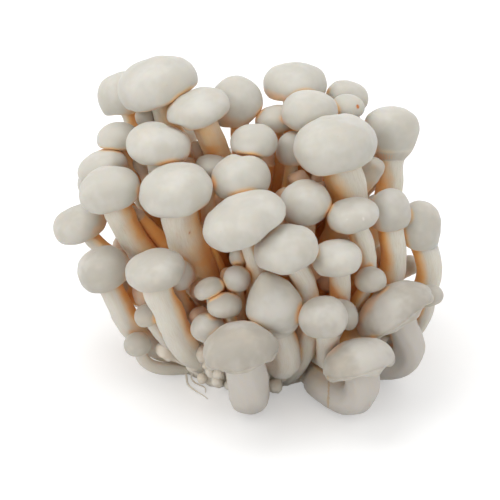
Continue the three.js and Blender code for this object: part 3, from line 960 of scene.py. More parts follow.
@dataclass
class Mushroom:
    """One mushroom's fine skin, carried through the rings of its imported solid."""

    rings: Rings
    shut: Array
    seed: int
    clump: Array
    stem_step: float = 1.1 * MM
    stem_face: float = 1.6 * MM
    cap_face: float = 1.05 * MM
    cap_rows: int = 34
    gill_rows: int = 12
    gill_pitch: float = 1.05 * MM
    gill_depth: float = 0.075
    funnel_gill: float = 0.012
    root_height: float = 4 * MM
    sink: float = 2.6 * MM
    flare: float = 1.12
    grown: float = 18 * MM
    lump: float = 0.16 * MM
    lump_long: float = 9 * MM
    lump_short: float = 4 * MM
    ridge: float = 0.10 * MM
    rim_wave: float = 0.55 * MM
    fibre_wide: float = 4 * MM
    fibre_long: float = 26 * MM
    nearby: float = 3 * MM
    dim_below: float = 30 * MM
    bright_above: float = 76 * MM
    ground_light: float = 0.35
    light_reach: float = 5 * MM

    def __post_init__(self) -> None:
        """Adds a row sunk in the clump, the pole's row and one beyond it, and their knots."""
        rows = self.rings.rows
        sole = rows[0].mean(0)
        inward = unit(self.clump + np.array([0, 0, self.root_height]) - sole)
        sunk = sole + inward * self.sink + (rows[0] - sole) * self.flare
        half = rows.shape[1] // 2
        pole = np.broadcast_to(self.rings.top, rows[0].shape)
        beyond = np.roll(rows[-1], half, axis=0)
        self.table = np.stack([sunk, *rows, pole, beyond])
        shut = self.shut
        top = np.full(shut.shape[1], shut[-1].mean())
        self.shelter = np.stack([shut[0], *shut, top, shut[-1]])
        steps = np.linalg.norm(np.diff(self.table, axis=0), axis=-1).mean(1)
        self.lengths = np.r_[0, np.cumsum(steps)]
        self.knots = np.r_[0, np.cumsum(np.sqrt(steps))]
        self.neck = self.rings.stem_rows
        self.apex = self.neck + CAP_ROWS + 1
        self.bands = {band: self.laid(band) for band in Band}

    def columns(self, band: Band) -> int:
        """Counts a band's columns: more on a wide cap, and two for each gill.

        Args:
            band: which band.

        Returns:
            The number of columns.
        """
        girth = np.pi * self.rings.width
        if band is Band.STEM:
            return int(np.clip(girth / self.stem_face, 24, 44))
        if band is Band.CAP:
            return int(np.clip(girth / self.cap_face, 32, 76))
        return 2 * int(np.clip(0.82 * girth / self.gill_pitch, 20, 62))

    def rows(self, band: Band) -> Array:
        """Places a band's rows: evenly up the stem, and close together at the rim.

        Args:
            band: which band.

        Returns:
            Row numbers, with fractions, from the foot up.
        """
        if band is Band.STEM:
            length = self.lengths[self.neck]
            count = int(np.clip(length / self.stem_step, 14, 70))
            numbers = np.arange(len(self.lengths))
            return np.interp(np.linspace(0, length, count), self.lengths, numbers)
        if band is Band.GILLS:
            return self.neck + np.linspace(0.09, 1.90, self.gill_rows)
        rim = self.neck + np.linspace(1.97, 4.0, self.cap_rows // 2)
        dome = np.linspace(self.neck + 4.0, self.apex - 0.10, self.cap_rows // 2 + 1)[1:]
        return np.r_[rim, dome]

    def surface(self, rows: Array, turns: Array, table: Array | None = None) -> Array:
        """The smooth surface: waves round each ring, and a cubic from ring to ring.

        Args:
            rows: row numbers, with fractions.
            turns: angles round the mushroom.
            table: what to carry, instead of the places of the rings.

        Returns:
            An array of rows x turns of what the table holds.
        """
        table = self.table if table is None else table
        samples = np.interp(rows, np.arange(len(self.knots)), self.knots)
        upward = through(self.knots, samples)
        sideways = around(table.shape[1], turns)
        rows_done = np.tensordot(upward, table, 1)
        return np.moveaxis(np.tensordot(rows_done, sideways, ((1,), (1,))), -1, 1)

    def normals(self, rows: Array, turns: Array) -> Array:
        """Outward normals: the cross product of small steps round and up the surface.

        Args:
            rows: row numbers, with fractions.
            turns: angles round the mushroom.

        Returns:
            Unit vectors, rows x turns x 3.
        """
        step = 0.02
        north = self.surface(rows + step, turns) - self.surface(np.maximum(rows - step, 0), turns)
        east = self.surface(rows, turns + step) - self.surface(rows, turns - step)
        return unit(np.cross(east, north))

    def relief(self, rows: Array, turns: Array, places: Array) -> Array:
        """How far the flesh stands proud of the smooth surface.

        Everywhere there are slow lumps.  The stem has long ridges, which are waves round it
        that wander as they rise.  An open rim is lobed by slow waves and has a shallow groove.

        Args:
            rows: row numbers, with fractions.
            turns: angles round the mushroom.
            places: the smooth surface there.

        Returns:
            Heights, rows x turns.
        """
        small = np.clip(self.rings.width / self.grown, 0.4, 1.0)
        height = self.lump * small * lumps(places, self.lump_long, self.seed)
        height += 0.4 * self.lump * small * lumps(places, self.lump_short, self.seed + 1)
        on_stem = smoothstep(0.2, 1.2, rows) * (1 - smoothstep(self.neck - 0.9, self.neck, rows))
        rng = np.random.default_rng(self.seed)
        count = np.array([4, 7, 11])
        phase = rng.uniform(0, TURN, 3)
        wander = rng.uniform(0.3, 1.1, 3)
        angle = turns[None, :, None] * count + phase + wander * rows[:, None, None]
        ridges = (np.sin(angle) / np.array([1.2, 1.5, 2.2])).sum(-1)
        height += self.ridge * small * ridges * on_stem[:, None]
        if self.rings.is_open:
            past_rim = rows[:, None] - self.neck
            lobes = np.sin(5 * turns + phase[0]) + 0.7 * np.sin(8 * turns + phase[1])
            height += self.rim_wave * lobes * np.exp(-((past_rim - 2.4) ** 2) / 0.5)
            height -= 0.5 * self.rim_wave * np.exp(-(((past_rim - 3.6 - 0.15 * lobes) / 0.22) ** 2))
        return height

    def gill_share(self, rows: Array) -> Array:
        """How deep the gills are from the neck, 0, over the underside, 1, to the rim, 0.

        A cap that barely overhangs its stem hides its gills, so there they fade out.

        Args:
            rows: row numbers, with fractions.

        Returns:
            Shares of the full depth, one for each row.
        """
        start = smoothstep(self.neck + 0.05, self.neck + 0.5, rows)
        end = 1 - smoothstep(self.neck + 1.55, self.neck + 1.93, rows)
        return start * end * smoothstep(1.7, 2.3, self.rings.width / self.rings.neck_width)

    def laid(self, band: Band) -> tuple[Array, Array]:
        """Lays a band's vertices on the smooth surface, moved out by the relief and gills.

        Args:
            band: which band.

        Returns:
            Their places, rows x columns x 3, and how deep in a gill each lies.
        """
        rows, count = self.rows(band), self.columns(band)
        turns = full_turn(count)
        places = self.surface(rows, turns)
        notched = np.arange(count) % 2 if band is Band.GILLS else np.zeros(count)
        cut = self.gill_share(rows)[:, None] * notched
        depth = self.funnel_gill if self.rings.is_funnel else self.gill_depth
        height = self.relief(rows, turns, places) - depth * self.rings.width * cut
        return places + self.normals(rows, turns) * height[..., None], cut

    def skin(self) -> Array:
        """All vertices of the three bands, n x 3."""
        return np.concatenate([places.reshape(-1, 3) for places, _ in self.bands.values()])

    def spotted(self, places: Array) -> Array:
        """Lays the mushroom's spots on the skin where it is nearest to them.

        Args:
            places: vertices of a band.

        Returns:
            How brown, or below 0 how bright a painted highlight, each place is.
        """
        brown = np.zeros(places.shape[:-1])
        for spot in SPOTS:
            if spot.node == self.rings.name:
                skin = self.skin()
                away = np.linalg.norm(skin - np.array(spot.place) * MM, axis=-1)
                away = np.linalg.norm(places - skin[away.argmin()], axis=-1) / (spot.size * MM)
                brown = brown + spot.strength * (1 - smoothstep(0.3, 1.0, away))
        return brown

    def torn(self, places: Array) -> Array:
        """Measures each place from its mushroom's tear.

        Args:
            places: vertices of a band.

        Returns:
            For each, how far it is across, along and off the tear, in mm, or FAR.
        """
        for tear in TEARS:
            if tear.node == self.rings.name:
                rim, tip = np.array(tear.rim), np.array(tear.tip)
                along = unit(tip - rim)
                out = unit(rim - self.rings.middle(WIDEST) / MM)
                side = unit(np.cross(along, out))
                away = places / MM - rim
                behind = np.where(away @ out > -3.5, 0.0, FAR)
                return np.stack([away @ side + behind, away @ along, away @ out], -1)
        return np.full(places.shape, FAR)

    def lay(self, shell: Shell, band: Band, close: Array) -> int:
        """Adds one band of the skin to the shell.

        Args:
            shell: where the band goes.
            band: which band it is.
            close: how near each of its vertices is to another mushroom.

        Returns:
            The number of the band's first vertex.
        """
        places, cut = self.bands[band]
        rows, count = self.rows(band), places.shape[1]
        turns = full_turn(count)
        along = np.interp(rows, np.arange(len(self.lengths)), self.lengths)
        radius = 0.5 * self.rings.width
        fibre = np.empty(places.shape)
        fibre[..., 0] = np.cos(turns) * radius / self.fibre_wide + 7.0 * self.seed
        fibre[..., 1] = np.sin(turns) * radius / self.fibre_wide
        fibre[..., 2] = along[:, None] / self.fibre_long
        one = np.ones(cut.shape)
        on_cap = smoothstep(self.neck + 1.75, self.neck + 2.5, rows)[:, None]
        under = smoothstep(self.neck - 0.12, self.neck + 0.3, rows)[:, None] * (1 - on_cap)
        if self.rings.is_funnel:
            on_cap, under = np.maximum(on_cap, under), 0.15 * under
        rise = np.clip(along / self.lengths[self.neck], 0, 1)[:, None]
        return shell.band(
            places,
            cap=one * on_cap,
            gill=one * under,
            rise=one * rise,
            fibre=fibre,
            # shelter and close set the painted warm shade, a little more in the gill valleys
            shelter=self.shut_in(rows, turns, places) + 0.25 * cut,
            close=close / MM,
            # painted shade for mushrooms low in the bunch
            tone=one * self.tone(),
            blemish=self.spotted(places),
            tear=self.torn(places),
        )

    def shut_in(self, rows: Array, turns: Array, places: Array) -> Array:
        """How far each place is shut in, for its painted warm shade; less so near the ground, which
        throws light back up.
        """
        shut = np.clip(self.surface(rows, turns, self.shelter), 0, 1)
        high = smoothstep(self.light_reach, self.dim_below, places[..., 2])
        return shut * (1 - self.ground_light + self.ground_light * high)

    def tone(self) -> float:
        """How far the flesh escapes painted shade: low mushrooms, mostly the opened ones, are
        painted greyer.
        """
        high = float(smoothstep(self.dim_below, self.bright_above, self.rings.top[2]))
        return high if self.rings.is_open else 0.4 + 0.6 * high

    def pole(self, shell: Shell, place: Array, row: int) -> int:
        """Adds the single vertex that closes an end of the skin.

        Args:
            shell: where it goes.
            place: its place.
            row: the number of its row.

        Returns:
            The vertex's number.
        """
        single = np.ones(1)
        over = single * (row > self.neck)
        return shell.add(
            place[None],
            cap=over,
            gill=0 * single,
            rise=over,
            fibre=np.zeros((1, 3)),
            shelter=single * self.shelter[row].mean(),
            close=single * self.nearby / MM,
            tone=single * self.tone(),
            blemish=0 * single,
            tear=np.full((1, 3), FAR),
        )

    def build(self, flesh: bpy.types.Material, close: Array) -> bpy.types.Object:
        """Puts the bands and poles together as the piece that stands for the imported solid.

        Args:
            flesh: the finish.
            close: how near each vertex of the skin is to another mushroom.

        Returns:
            The piece.
        """
        shell = Shell()
        starts, ends = {}, {}
        cuts = [cut for _, cut in self.bands.values()]
        parts = np.split(close, np.cumsum([cut.size for cut in cuts])[:-1])
        for band, cut, near in zip(Band, cuts, parts):
            starts[band] = self.lay(shell, band, near.reshape(cut.shape))
            ends[band] = shell.count - cut.shape[1]
        stem, gills, cap = (self.columns(band) for band in Band)
        sole = self.pole(shell, self.table[0].mean(0), 0)
        top = self.pole(shell, self.rings.top, self.apex)
        shell.faces += [
            zip_faces(ends[Band.STEM], stem, starts[Band.GILLS], gills),
            zip_faces(ends[Band.GILLS], gills, starts[Band.CAP], cap),
            fan_faces(starts[Band.STEM], stem, sole, upward=False),
            fan_faces(ends[Band.CAP], cap, top, upward=True),
        ]
        thing = shell.piece(self.rings.name + "_skin", flesh, "mushroom_flesh")
        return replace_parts(thing, self.rings.name)


# ---- the clump, its pins and its threads ----


@dataclass(frozen=True)
class Lobe:
    """A swelling of the clump: its heading and rise in degrees, its width and height in mm."""

    heading: float
    rise: float
    wide: float
    proud: float


@dataclass
class Clump:
    """The foot of the bunch: a domed, knobbly mass on a flat cut."""

    feet: Array
    foot_radii: Array
    discs: Discs
    headings: int = 260
    rises: int = 60
    cut_rings: int = 12
    collar: float = 1.3 * MM
    knobs: int = 130
    knob: float = 0.9 * MM
    shrunk: float = 0.5 * MM
    dip: float = 0.12 * MM
    lobes: tuple[Lobe, ...] = (
        Lobe(228, 16, 7.0, 2.6),
        Lobe(240, 26, 7.0, 2.4),
        Lobe(243, 10, 6.5, 2.2),
        Lobe(254, 20, 6.0, 2.2),
        Lobe(258, 6, 5.0, 1.6),
        Lobe(289, 12, 6.0, 2.2),
        Lobe(300, 22, 6.0, 1.8),
    )

    def __post_init__(self) -> None:
        """Takes the middle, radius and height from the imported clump."""
        low, high = (np.array(corner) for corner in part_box(CLUMP))
        self.middle = np.array([*(low + high)[:2] / 2, 0.0])
        self.radius = float((high - low)[:2].max() / 2)
        self.height = float(high[2])

    def skin(self, heading: Array, rise: Array) -> Array:
        """Places on the plain dome, half an ellipsoid.

        Args:
            heading: angles from +X towards +Y, in radians.
            rise: angles above the ground, in radians.

        Returns:
            Places, with three coordinates in the last axis.
        """
        flat = self.radius * np.cos(rise)
        parts = [flat * np.cos(heading), flat * np.sin(heading), self.height * np.sin(rise)]
        return self.middle + np.stack(parts, -1)

    def bulge(self, places: Array, spots: Array, width: Array, proud: Array | float) -> Array:
        """The tallest of some round swellings: proud times exp of -(distance / width)^4.

        Args:
            places: where, with three coordinates in the last axis.
            spots: the swellings' middles, n x 3.
            width: their widths.
            proud: their heights.

        Returns:
            Heights, one for each place.
        """
        away = np.linalg.norm(places[..., None, :] - spots, axis=-1) / width
        return (proud * np.exp(-(away**4))).max(-1)

    def swell(self, places: Array) -> Array:
        """How far the flesh swells: lobes, a collar round each stem, knobs and slow lumps.

        Args:
            places: where, with three coordinates in the last axis.

        Returns:
            Heights, one for each place.
        """
        collars = self.bulge(places, self.feet, 1.25 * self.foot_radii, self.collar)
        heading, rise, wide, proud = np.array([astuple(lobe) for lobe in self.lobes]).T
        spots = self.skin(np.radians(heading), np.radians(rise))
        lobes = self.bulge(places, spots, 0.6 * wide * MM, proud * MM)
        rng = np.random.default_rng(11)
        spots = self.skin(rng.uniform(0, TURN, self.knobs), rng.uniform(0.02, 1.2, self.knobs))
        width = rng.uniform(1.0, 2.4, self.knobs) * MM
        knobs = self.bulge(places, spots, width, self.knob * rng.uniform(0.4, 1.0, self.knobs))
        slow = 0.35 * MM * lumps(places, 7 * MM, 5) + 0.14 * MM * lumps(places, 2.4 * MM, 6)
        return np.maximum(collars, lobes) + knobs + slow

    def build(self, flesh: bpy.types.Material) -> bpy.types.Object:
        """Builds the dome with its swellings, closed by the cut face with its shallow dips.

        Args:
            flesh: the finish.

        Returns:
            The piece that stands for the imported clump.
        """
        shell = Shell()
        rise = np.linspace(0.0, np.pi / 2, self.rises + 1)[:-1]
        plain = self.skin(*np.meshgrid(full_turn(self.headings), rise))
        out = unit(plain - self.middle)
        places = plain + out * (self.swell(plain) - self.shrunk)[..., None]
        places[0, :, 2] = 0.0
        places[..., 2] = np.maximum(places[..., 2], 0.0)
        shares = np.linspace(1, 0, self.cut_rings + 1)[1:-1][::-1]
        cut = self.middle + (places[0] - self.middle) * shares[:, None, None]
        dips = self.dip * (1 + lumps(cut, 3 * MM, 8))
        cut[..., 2] = np.maximum(dips * smoothstep(1.0, 0.93, shares)[:, None], 0)
        every = np.concatenate([cut, places])
        soiled = 1 - smoothstep(0.5 * MM, 4.5 * MM, every[..., 2])
        # shelter sets the clump's painted warm shade
        shut = np.concatenate([np.zeros(cut.shape[:2]), self.discs.shelter(plain, out)])
        poles = np.array([self.middle, self.middle + [0, 0, self.height]])
        ends = {"soiled": np.array([1.0, 0.0]), "shelter": np.array([0.0, 1.0])}
        shell.tube(every, poles, ends, soiled=0.15 + 0.85 * soiled, shelter=shut)
        thing = shell.piece("clump_foot", flesh, "base_flesh")
        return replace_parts(thing, CLUMP)


@dataclass
class Stalks:
    """Round stalks that share one piece: closed tubes, each a row of rings round its own line."""

    columns: int
    discs: Discs
    uneven: float
    across: Place = (0.3, 0.9, 0.1)
    lump_long: float = 7 * MM
    lump_short: float = 2.5 * MM
    fibre: float = 2 * MM
    rounding: float = 0.12
    ground: float = 0.05 * MM
    shutting: float = 1.45
    shell: Shell = field(default_factory=Shell)

    def grow(self, line: Array, radii: Array, cap: Array, tone: float) -> None:
        """Adds one stalk.

        Each ring lies square to the line.  Its radius also carries uneven lumps, and each end
        is closed by a pole on the line.

        Args:
            line: the middle of each ring, n x 3.
            radii: each ring's radius.
            cap: how far each ring belongs to a cap.
            tone: how far the flesh escapes painted shade, 1 for none.
        """
        rings = line[:, None] + spokes(line, self.across, self.columns) * radii[:, None, None]
        swell = lumps(rings, self.lump_short, 3) + lumps(rings, self.lump_long, 4)
        swell = 1 + self.uneven * swell
        rings = line[:, None] + (rings - line[:, None]) * swell[..., None]
        rings[..., 2] = np.maximum(rings[..., 2], self.ground)
        # shelter sets the stalks' painted warm shade
        shut = 1 - np.exp(-self.shutting * self.discs.cover(line))
        one = np.ones(rings.shape[:2])
        plain = {"gill": 0.0, "rise": 0.5, "close": 3.0, "tone": tone, "soiled": 0.0, "blemish": 0.0}
        values = {name: value * one for name, value in plain.items()}
        values |= {"cap": cap[:, None] * one, "shelter": shut[:, None] * one}
        values |= {"tear": np.full(rings.shape, FAR), "fibre": rings / self.fibre}
        ends = {name: value[[0, -1]].mean(1) for name, value in values.items()}
        past = np.array([-self.rounding, self.rounding])[:, None] * radii[[0, -1], None]
        poles = line[[0, -1]] + past * unit(np.gradient(line, axis=0))[[0, -1]]
        poles[:, 2] = np.maximum(poles[:, 2], self.ground)
        self.shell.tube(rings, poles, ends, **values)


@dataclass(frozen=True)
class Pin:
    """A young mushroom that stopped growing: where it stands on the clump and its size in mm."""

    heading: float
    rise: float
    tall: float
    wide: float


@dataclass
class YoungPins:
    """The pins: pegs with round heads that stand off the clump and turn upwards."""

    clump: Clump
    discs: Discs
    pins: tuple[Pin, ...] = (
        Pin(219, 13.5, 14.0, 5.0),
        Pin(212, 12, 8.0, 3.6),
        Pin(205, 6, 8.0, 3.0),
        Pin(240, 22, 11.0, 4.8),
        Pin(232, 12, 8.0, 3.8),
        Pin(238, 4, 6.0, 3.4),
        Pin(246, 18, 7.0, 4.0),
        Pin(250, 11, 7.0, 3.6),
        Pin(256, 3, 5.0, 3.2),
        Pin(261, 10, 6.5, 3.8),
        Pin(285, 2, 7.5, 4.4),
        Pin(291, 9, 5.0, 3.2),
        Pin(280, 12, 5.5, 3.4),
        Pin(299, 9, 7.0, 3.6),
        Pin(296, 24, 9.0, 3.4),
    )
    scattered: int = 70
    extremes: tuple[Pin, Pin] = (Pin(0, 3, 3.5, 1.8), Pin(360, 60, 8.0, 3.8))
    sunk: float = 1.2 * MM
    upturn: float = 0.45
    columns: int = 14
    uneven: float = 0.09
    head: tuple[tuple[float, float], ...] = (
        (0.60, 0.00), (0.54, 0.15), (0.50, 0.30), (0.50, 0.45), (0.54, 0.56), (0.72, 0.62),
        (0.92, 0.68), (1.00, 0.76), (0.97, 0.85), (0.84, 0.92), (0.62, 0.97), (0.32, 0.995),
    )

    def sown(self) -> Array:
        """Draws the scattered pins, and keeps those that stand clear of the stems' feet.

        Returns:
            Heading, rise, length and width of every pin, n x 4.
        """
        rng = np.random.default_rng(23)
        count = self.scattered * 3
        lowest, highest = np.array([astuple(pin) for pin in self.extremes])
        drawn = rng.uniform(lowest, highest, (count, 4))
        places = self.clump.skin(*np.radians(drawn[:, :2]).T)
        away = np.linalg.norm(places[:, None] - self.clump.feet, axis=-1) - self.clump.foot_radii
        free = drawn[away.min(1) > 0.8 * MM][: self.scattered]
        return np.concatenate([[astuple(pin) for pin in self.pins], free])

    def build(self, flesh: bpy.types.Material) -> bpy.types.Object:
        """Grows all pins in one piece: each follows the line root + out s + up s^2.

        Args:
            flesh: the finish.

        Returns:
            The piece.
        """
        stalks = Stalks(self.columns, self.discs, self.uneven)
        radius, height = np.array(self.head).T
        on_cap = smoothstep(0.55, 0.7, height)
        up = np.array([0, 0, 1.0])
        for heading, rise, tall, wide in self.sown():
            root = self.clump.skin(np.radians(heading), np.radians(rise))
            out = unit(root - self.clump.middle + np.array([0, 0, 3 * MM]))
            s = height[:, None] * tall * MM
            line = root + out * (s - self.sunk) + up * (self.upturn * s**2 / (tall * MM))
            stalks.grow(line, radius * wide / 2 * MM, on_cap, 1.0)
        return stalks.shell.piece("young_pins", flesh, "base_flesh")


@dataclass
class InnerStems:
    """Slender young stems in the room that the grown ones leave inside the bunch.

    Rays fan out of the clump.  On each, the longest clear stretch below the caps is found, and
    the rays with the most room are taken one after another, each narrowing the room of the rest.
    The heart, the chosen tips and the ends of the gap that is kept open are in mm, the angles
    widest_fan and nearby in degrees, and the parts of a head in steps along the ray.
    """

    mushrooms: list[Mushroom]
    discs: Discs
    heart: Place = (0.8, 0.9, 8.0)
    rays: int = 600
    nearest: float = 17 * MM
    furthest: float = 83 * MM
    step: float = 1.8 * MM
    widest_fan: float = 70
    nearby: float = 14
    below_caps: float = 9 * MM
    tips: tuple[Place, ...] = (
        (-34, 21, 79), (-37, 15, 66), (-38, 10, 53), (-16.8, 12, 72), (41.5, 5.8, 67.5),
        (43, 21.5, 58), (44, 12.5, 57), (54, 4, 33), (44, -18.5, 17.5),
    )
    kept_open: tuple[Place, Place] = ((-6.2, -20, 84), (-7.1, 55, 54))
    opening: float = 1.4 * MM
    narrowest: float = 0.8 * MM
    widest: float = 3.2 * MM
    shortest: int = 6
    kept: int = 80
    play: float = 0.15 * MM
    rooted: int = 3
    evened: int = 8
    # the inner stems are painted partly in shade
    tone: float = 0.7
    columns: int = 16
    uneven: float = 0.035
    head: tuple[float, ...] = (-3.0, -2.8, -2.6, -2.4, -2.0, -1.5, -1.1, -0.8, -0.5, -0.25, -0.1)

    def sights(self) -> Array:
        """Lays points along the rays: heart + distance times direction.

        The first rays run to the chosen tips and the others are drawn in a cone.

        Returns:
            Places, rays x steps x 3.
        """
        rng = np.random.default_rng(41)
        heading = rng.uniform(0, TURN, self.rays)
        fan = np.radians(self.widest_fan) * np.sqrt(rng.uniform(0, 1, self.rays))
        flat = np.sin(fan)
        drawn = np.stack([flat * np.cos(heading), flat * np.sin(heading), np.cos(fan)], -1)
        direction = np.concatenate([unit(np.array(self.tips) - self.heart), drawn])
        return np.array(self.heart) * MM + direction[:, None] * self.reach()[:, None]

    def reach(self) -> Array:
        """The distances from the heart at which each ray has its points."""
        return np.arange(self.nearest, self.furthest, self.step)

    def roof(self, points: Array) -> Array:
        """How far out each ray's stalk may reach: to its chosen tip, or to below the caps.

        The caps' distance is the mean distance of the necks, each weighted by exp of
        -(angle / nearby)^2, so that only the caps beside the ray count.

        Args:
            points: the rays' points.

        Returns:
            Distances from the heart, one for each ray.
        """
        heart = np.array(self.heart) * MM
        necks = np.array([mushroom.rings.middle(0) for mushroom in self.mushrooms]) - heart
        cosine = unit(points[:, -1] - heart) @ unit(necks).T
        angle = np.degrees(np.arccos(np.clip(cosine, -1, 1)))
        weight = np.exp(-((angle / self.nearby) ** 2)) + 1e-9
        limits = (weight @ np.linalg.norm(necks, axis=1)) / weight.sum(1) - self.below_caps
        limits[: len(self.tips)] = np.linalg.norm(np.array(self.tips) * MM - heart, axis=1)
        return limits

    def clearance(self, points: Array) -> Array:
        """Distance from each point to the nearest skin, below 0 inside it.

        The skins are sampled between their rings, and the sign is that of the step from the
        nearest sample to the point, measured along the sample's normal.  The gap through the
        crown that stays open counts as a skin too.

        Args:
            points: the rays' points.

        Returns:
            Distances, rays x steps.
        """
        samples, normals = [], []
        for mushroom in self.mushrooms:
            rows = np.arange(1, mushroom.apex + 0.1, 0.5)
            turns = full_turn(20)
            samples.append(mushroom.surface(rows, turns).reshape(-1, 3))
            normals.append(mushroom.normals(rows, turns).reshape(-1, 3))
        samples, normals = np.concatenate(samples), np.concatenate(normals)
        flat = points.reshape(-1, 3)
        found = np.empty(len(flat))
        squares = (samples**2).sum(1).astype(np.float32)
        halves = (-2 * samples.T).astype(np.float32)
        for block in blocks(len(flat), 300):
            nearest = (squares + flat[block].astype(np.float32) @ halves).argmin(1)
            step = flat[block] - samples[nearest]
            side = (step * normals[nearest]).sum(-1)
            found[block] = np.linalg.norm(step, axis=-1) * np.sign(side)
        first, last = np.array(self.kept_open) * MM
        through_gap = last - first
        along = np.clip((flat - first) @ through_gap / (through_gap @ through_gap), 0, 1)
        away = np.linalg.norm(flat - first - along[:, None] * through_gap, axis=1)
        return np.minimum(found, away - self.opening).reshape(points.shape[:-1])

    def longest(self, clear: Array) -> tuple[Array, Array]:
        """The longest clear run of each ray.

        Args:
            clear: rays x steps, whether a stalk has room there.

        Returns:
            The number of steps in each run and the step that it ends at.
        """
        run = clear.astype(int)
        for step in range(1, clear.shape[1]):
            run[:, step] += run[:, step - 1] * clear[:, step]
        return run.max(1), run.argmax(1)

    def shaped(self, room: Array, count: int, end: int, headed: bool) -> tuple[Array, ...]:
        """One stalk: a stem as wide as the room allows, evened, with or without a round head.

        Args:
            room: the clearance along the ray.
            count: steps in the clear run.
            end: the step that it ends at.
            headed: whether it has a small head.

        Returns:
            Step numbers, with fractions, the radius at each, and how far each is as pale as a cap.
        """
        start = max(end - count - self.rooted, 0)
        free = np.clip(room[start : end + 1] - self.play, 0.4 * self.narrowest, 1.5 * self.widest)
        radii = np.minimum(free, self.widest)
        for _ in range(self.evened):
            padded = np.pad(radii, 1, mode="edge")
            radii = np.minimum(radii, (padded[:-2] + 2 * radii + padded[2:]) / 4)
        head = end + np.array(self.head)
        steps = np.r_[np.linspace(start, end - 3.4, end - start - 2), head]
        axis = np.arange(start, end + 1)
        fine, most = np.interp(steps, axis, radii), np.interp(steps, axis, free)
        in_head = smoothstep(-3.0, -2.4, steps - end)
        fine += in_head * headed * (np.minimum(1.7 * fine, most) - fine)
        rounding = np.clip(1 + (steps - end) / 1.6, 0, 1)
        pale = in_head if headed else smoothstep(-9.0, -2.0, steps - end)
        return steps, fine * np.sqrt(1 - 0.97 * rounding**2), pale

    def build(self, flesh: bpy.types.Material) -> bpy.types.Object:
        """Picks the rays and grows a stalk on each.

        Args:
            flesh: the finish.

        Returns:
            The piece.
        """
        points = self.sights()
        room = self.clearance(points)
        inside = self.reach() < self.roof(points)[:, None]
        stalks = Stalks(self.columns, self.discs, self.uneven)
        for _ in range(self.kept):
            count, end = self.longest((room > self.narrowest + self.play) & inside)
            worth = count * np.clip(room, 0, self.widest).max(1) * (count >= self.shortest)
            worth[: len(self.tips)] *= 100.0
            ray = int(worth.argmax())
            if count[ray] < self.shortest:
                break
            headed = ray >= len(self.tips)
            steps, radii, pale = self.shaped(room[ray], int(count[ray]), int(end[ray]), headed)
            axis = np.arange(points.shape[1])
            line = np.stack([np.interp(steps, axis, points[ray, :, k]) for k in range(3)], -1)
            stalks.grow(line, radii, pale, self.tone)
            away = np.linalg.norm(points[:, :, None] - line[::2], axis=-1) - radii[::2]
            room = np.minimum(room, away.min(-1))
        return stalks.shell.piece("inner_stems", flesh, "mushroom_flesh")


@dataclass(frozen=True)
class Thread:
    """A loose root thread: its width and the points that it passes, in mm."""

    wide: float
    points: tuple[Place, ...]


@dataclass
class RootThreads:
    """Pale threads that hang off the clump and lie on the ground."""

    threads: tuple[Thread, ...] = (
        Thread(1.0, (
            (-17, -5, 5), (-20, -9, 2.6), (-18.8, -13, 0.8), (-17.8, -17, 0.5), (-16, -21, 0.5),
            (-12.5, -26, 0.45),
        )),
        Thread(0.8, (
            (-15, -9, 4), (-17.2, -12, 1.6), (-16, -15.5, 0.5), (-13.6, -19.5, 0.45),
            (-12.6, -22, 0.4),
        )),
        Thread(0.5, ((20, -10, 4), (24, -14, 1.2), (27, -16, 0.45), (30, -20, 0.4))),
        Thread(0.6, ((-8, 26, 4), (-10, 31, 1.0), (-14, 34, 0.45), (-16, 38, 0.4))),
    )
    columns: int = 8
    wander: float = 0.5 * MM
    ground: float = 0.02 * MM

    def build(self, flesh: bpy.types.Material) -> bpy.types.Object:
        """Lays all threads in one piece.

        Each is a tube along a smooth curve through its points.  It wanders by slow waves and
        thins to its tip.

        Args:
            flesh: the finish.

        Returns:
            The piece.
        """
        shell = Shell()
        for number, thread in enumerate(self.threads):
            points = np.array(thread.points) * MM
            knots = np.r_[0, np.cumsum(np.sqrt(np.linalg.norm(np.diff(points, axis=0), axis=1)))]
            share = np.linspace(0, 1, 12 * len(points))
            line = through(knots, share * knots[-1]) @ points
            drift = self.wander * smoothstep(0, 0.3, share)[:, None]
            line[:, :2] += drift * np.sin(share[:, None] * [9, 7] + [number, 2 * number])
            radius = 0.5 * thread.wide * MM * (1 - 0.6 * share)[:, None, None]
            rings = line[:, None] + spokes(line, (0.0, 0.1, 1.0), self.columns) * radius
            rings[..., 2] = np.maximum(rings[..., 2], self.ground)
            none = np.zeros(rings.shape[:2])
            ends = {"soiled": none[:2, 0], "shelter": none[:2, 0]}
            shell.tube(rings, line[[0, -1]], ends, soiled=none, shelter=none)
        return shell.piece("root_threads", flesh, "base_flesh")


# ---- studio ----


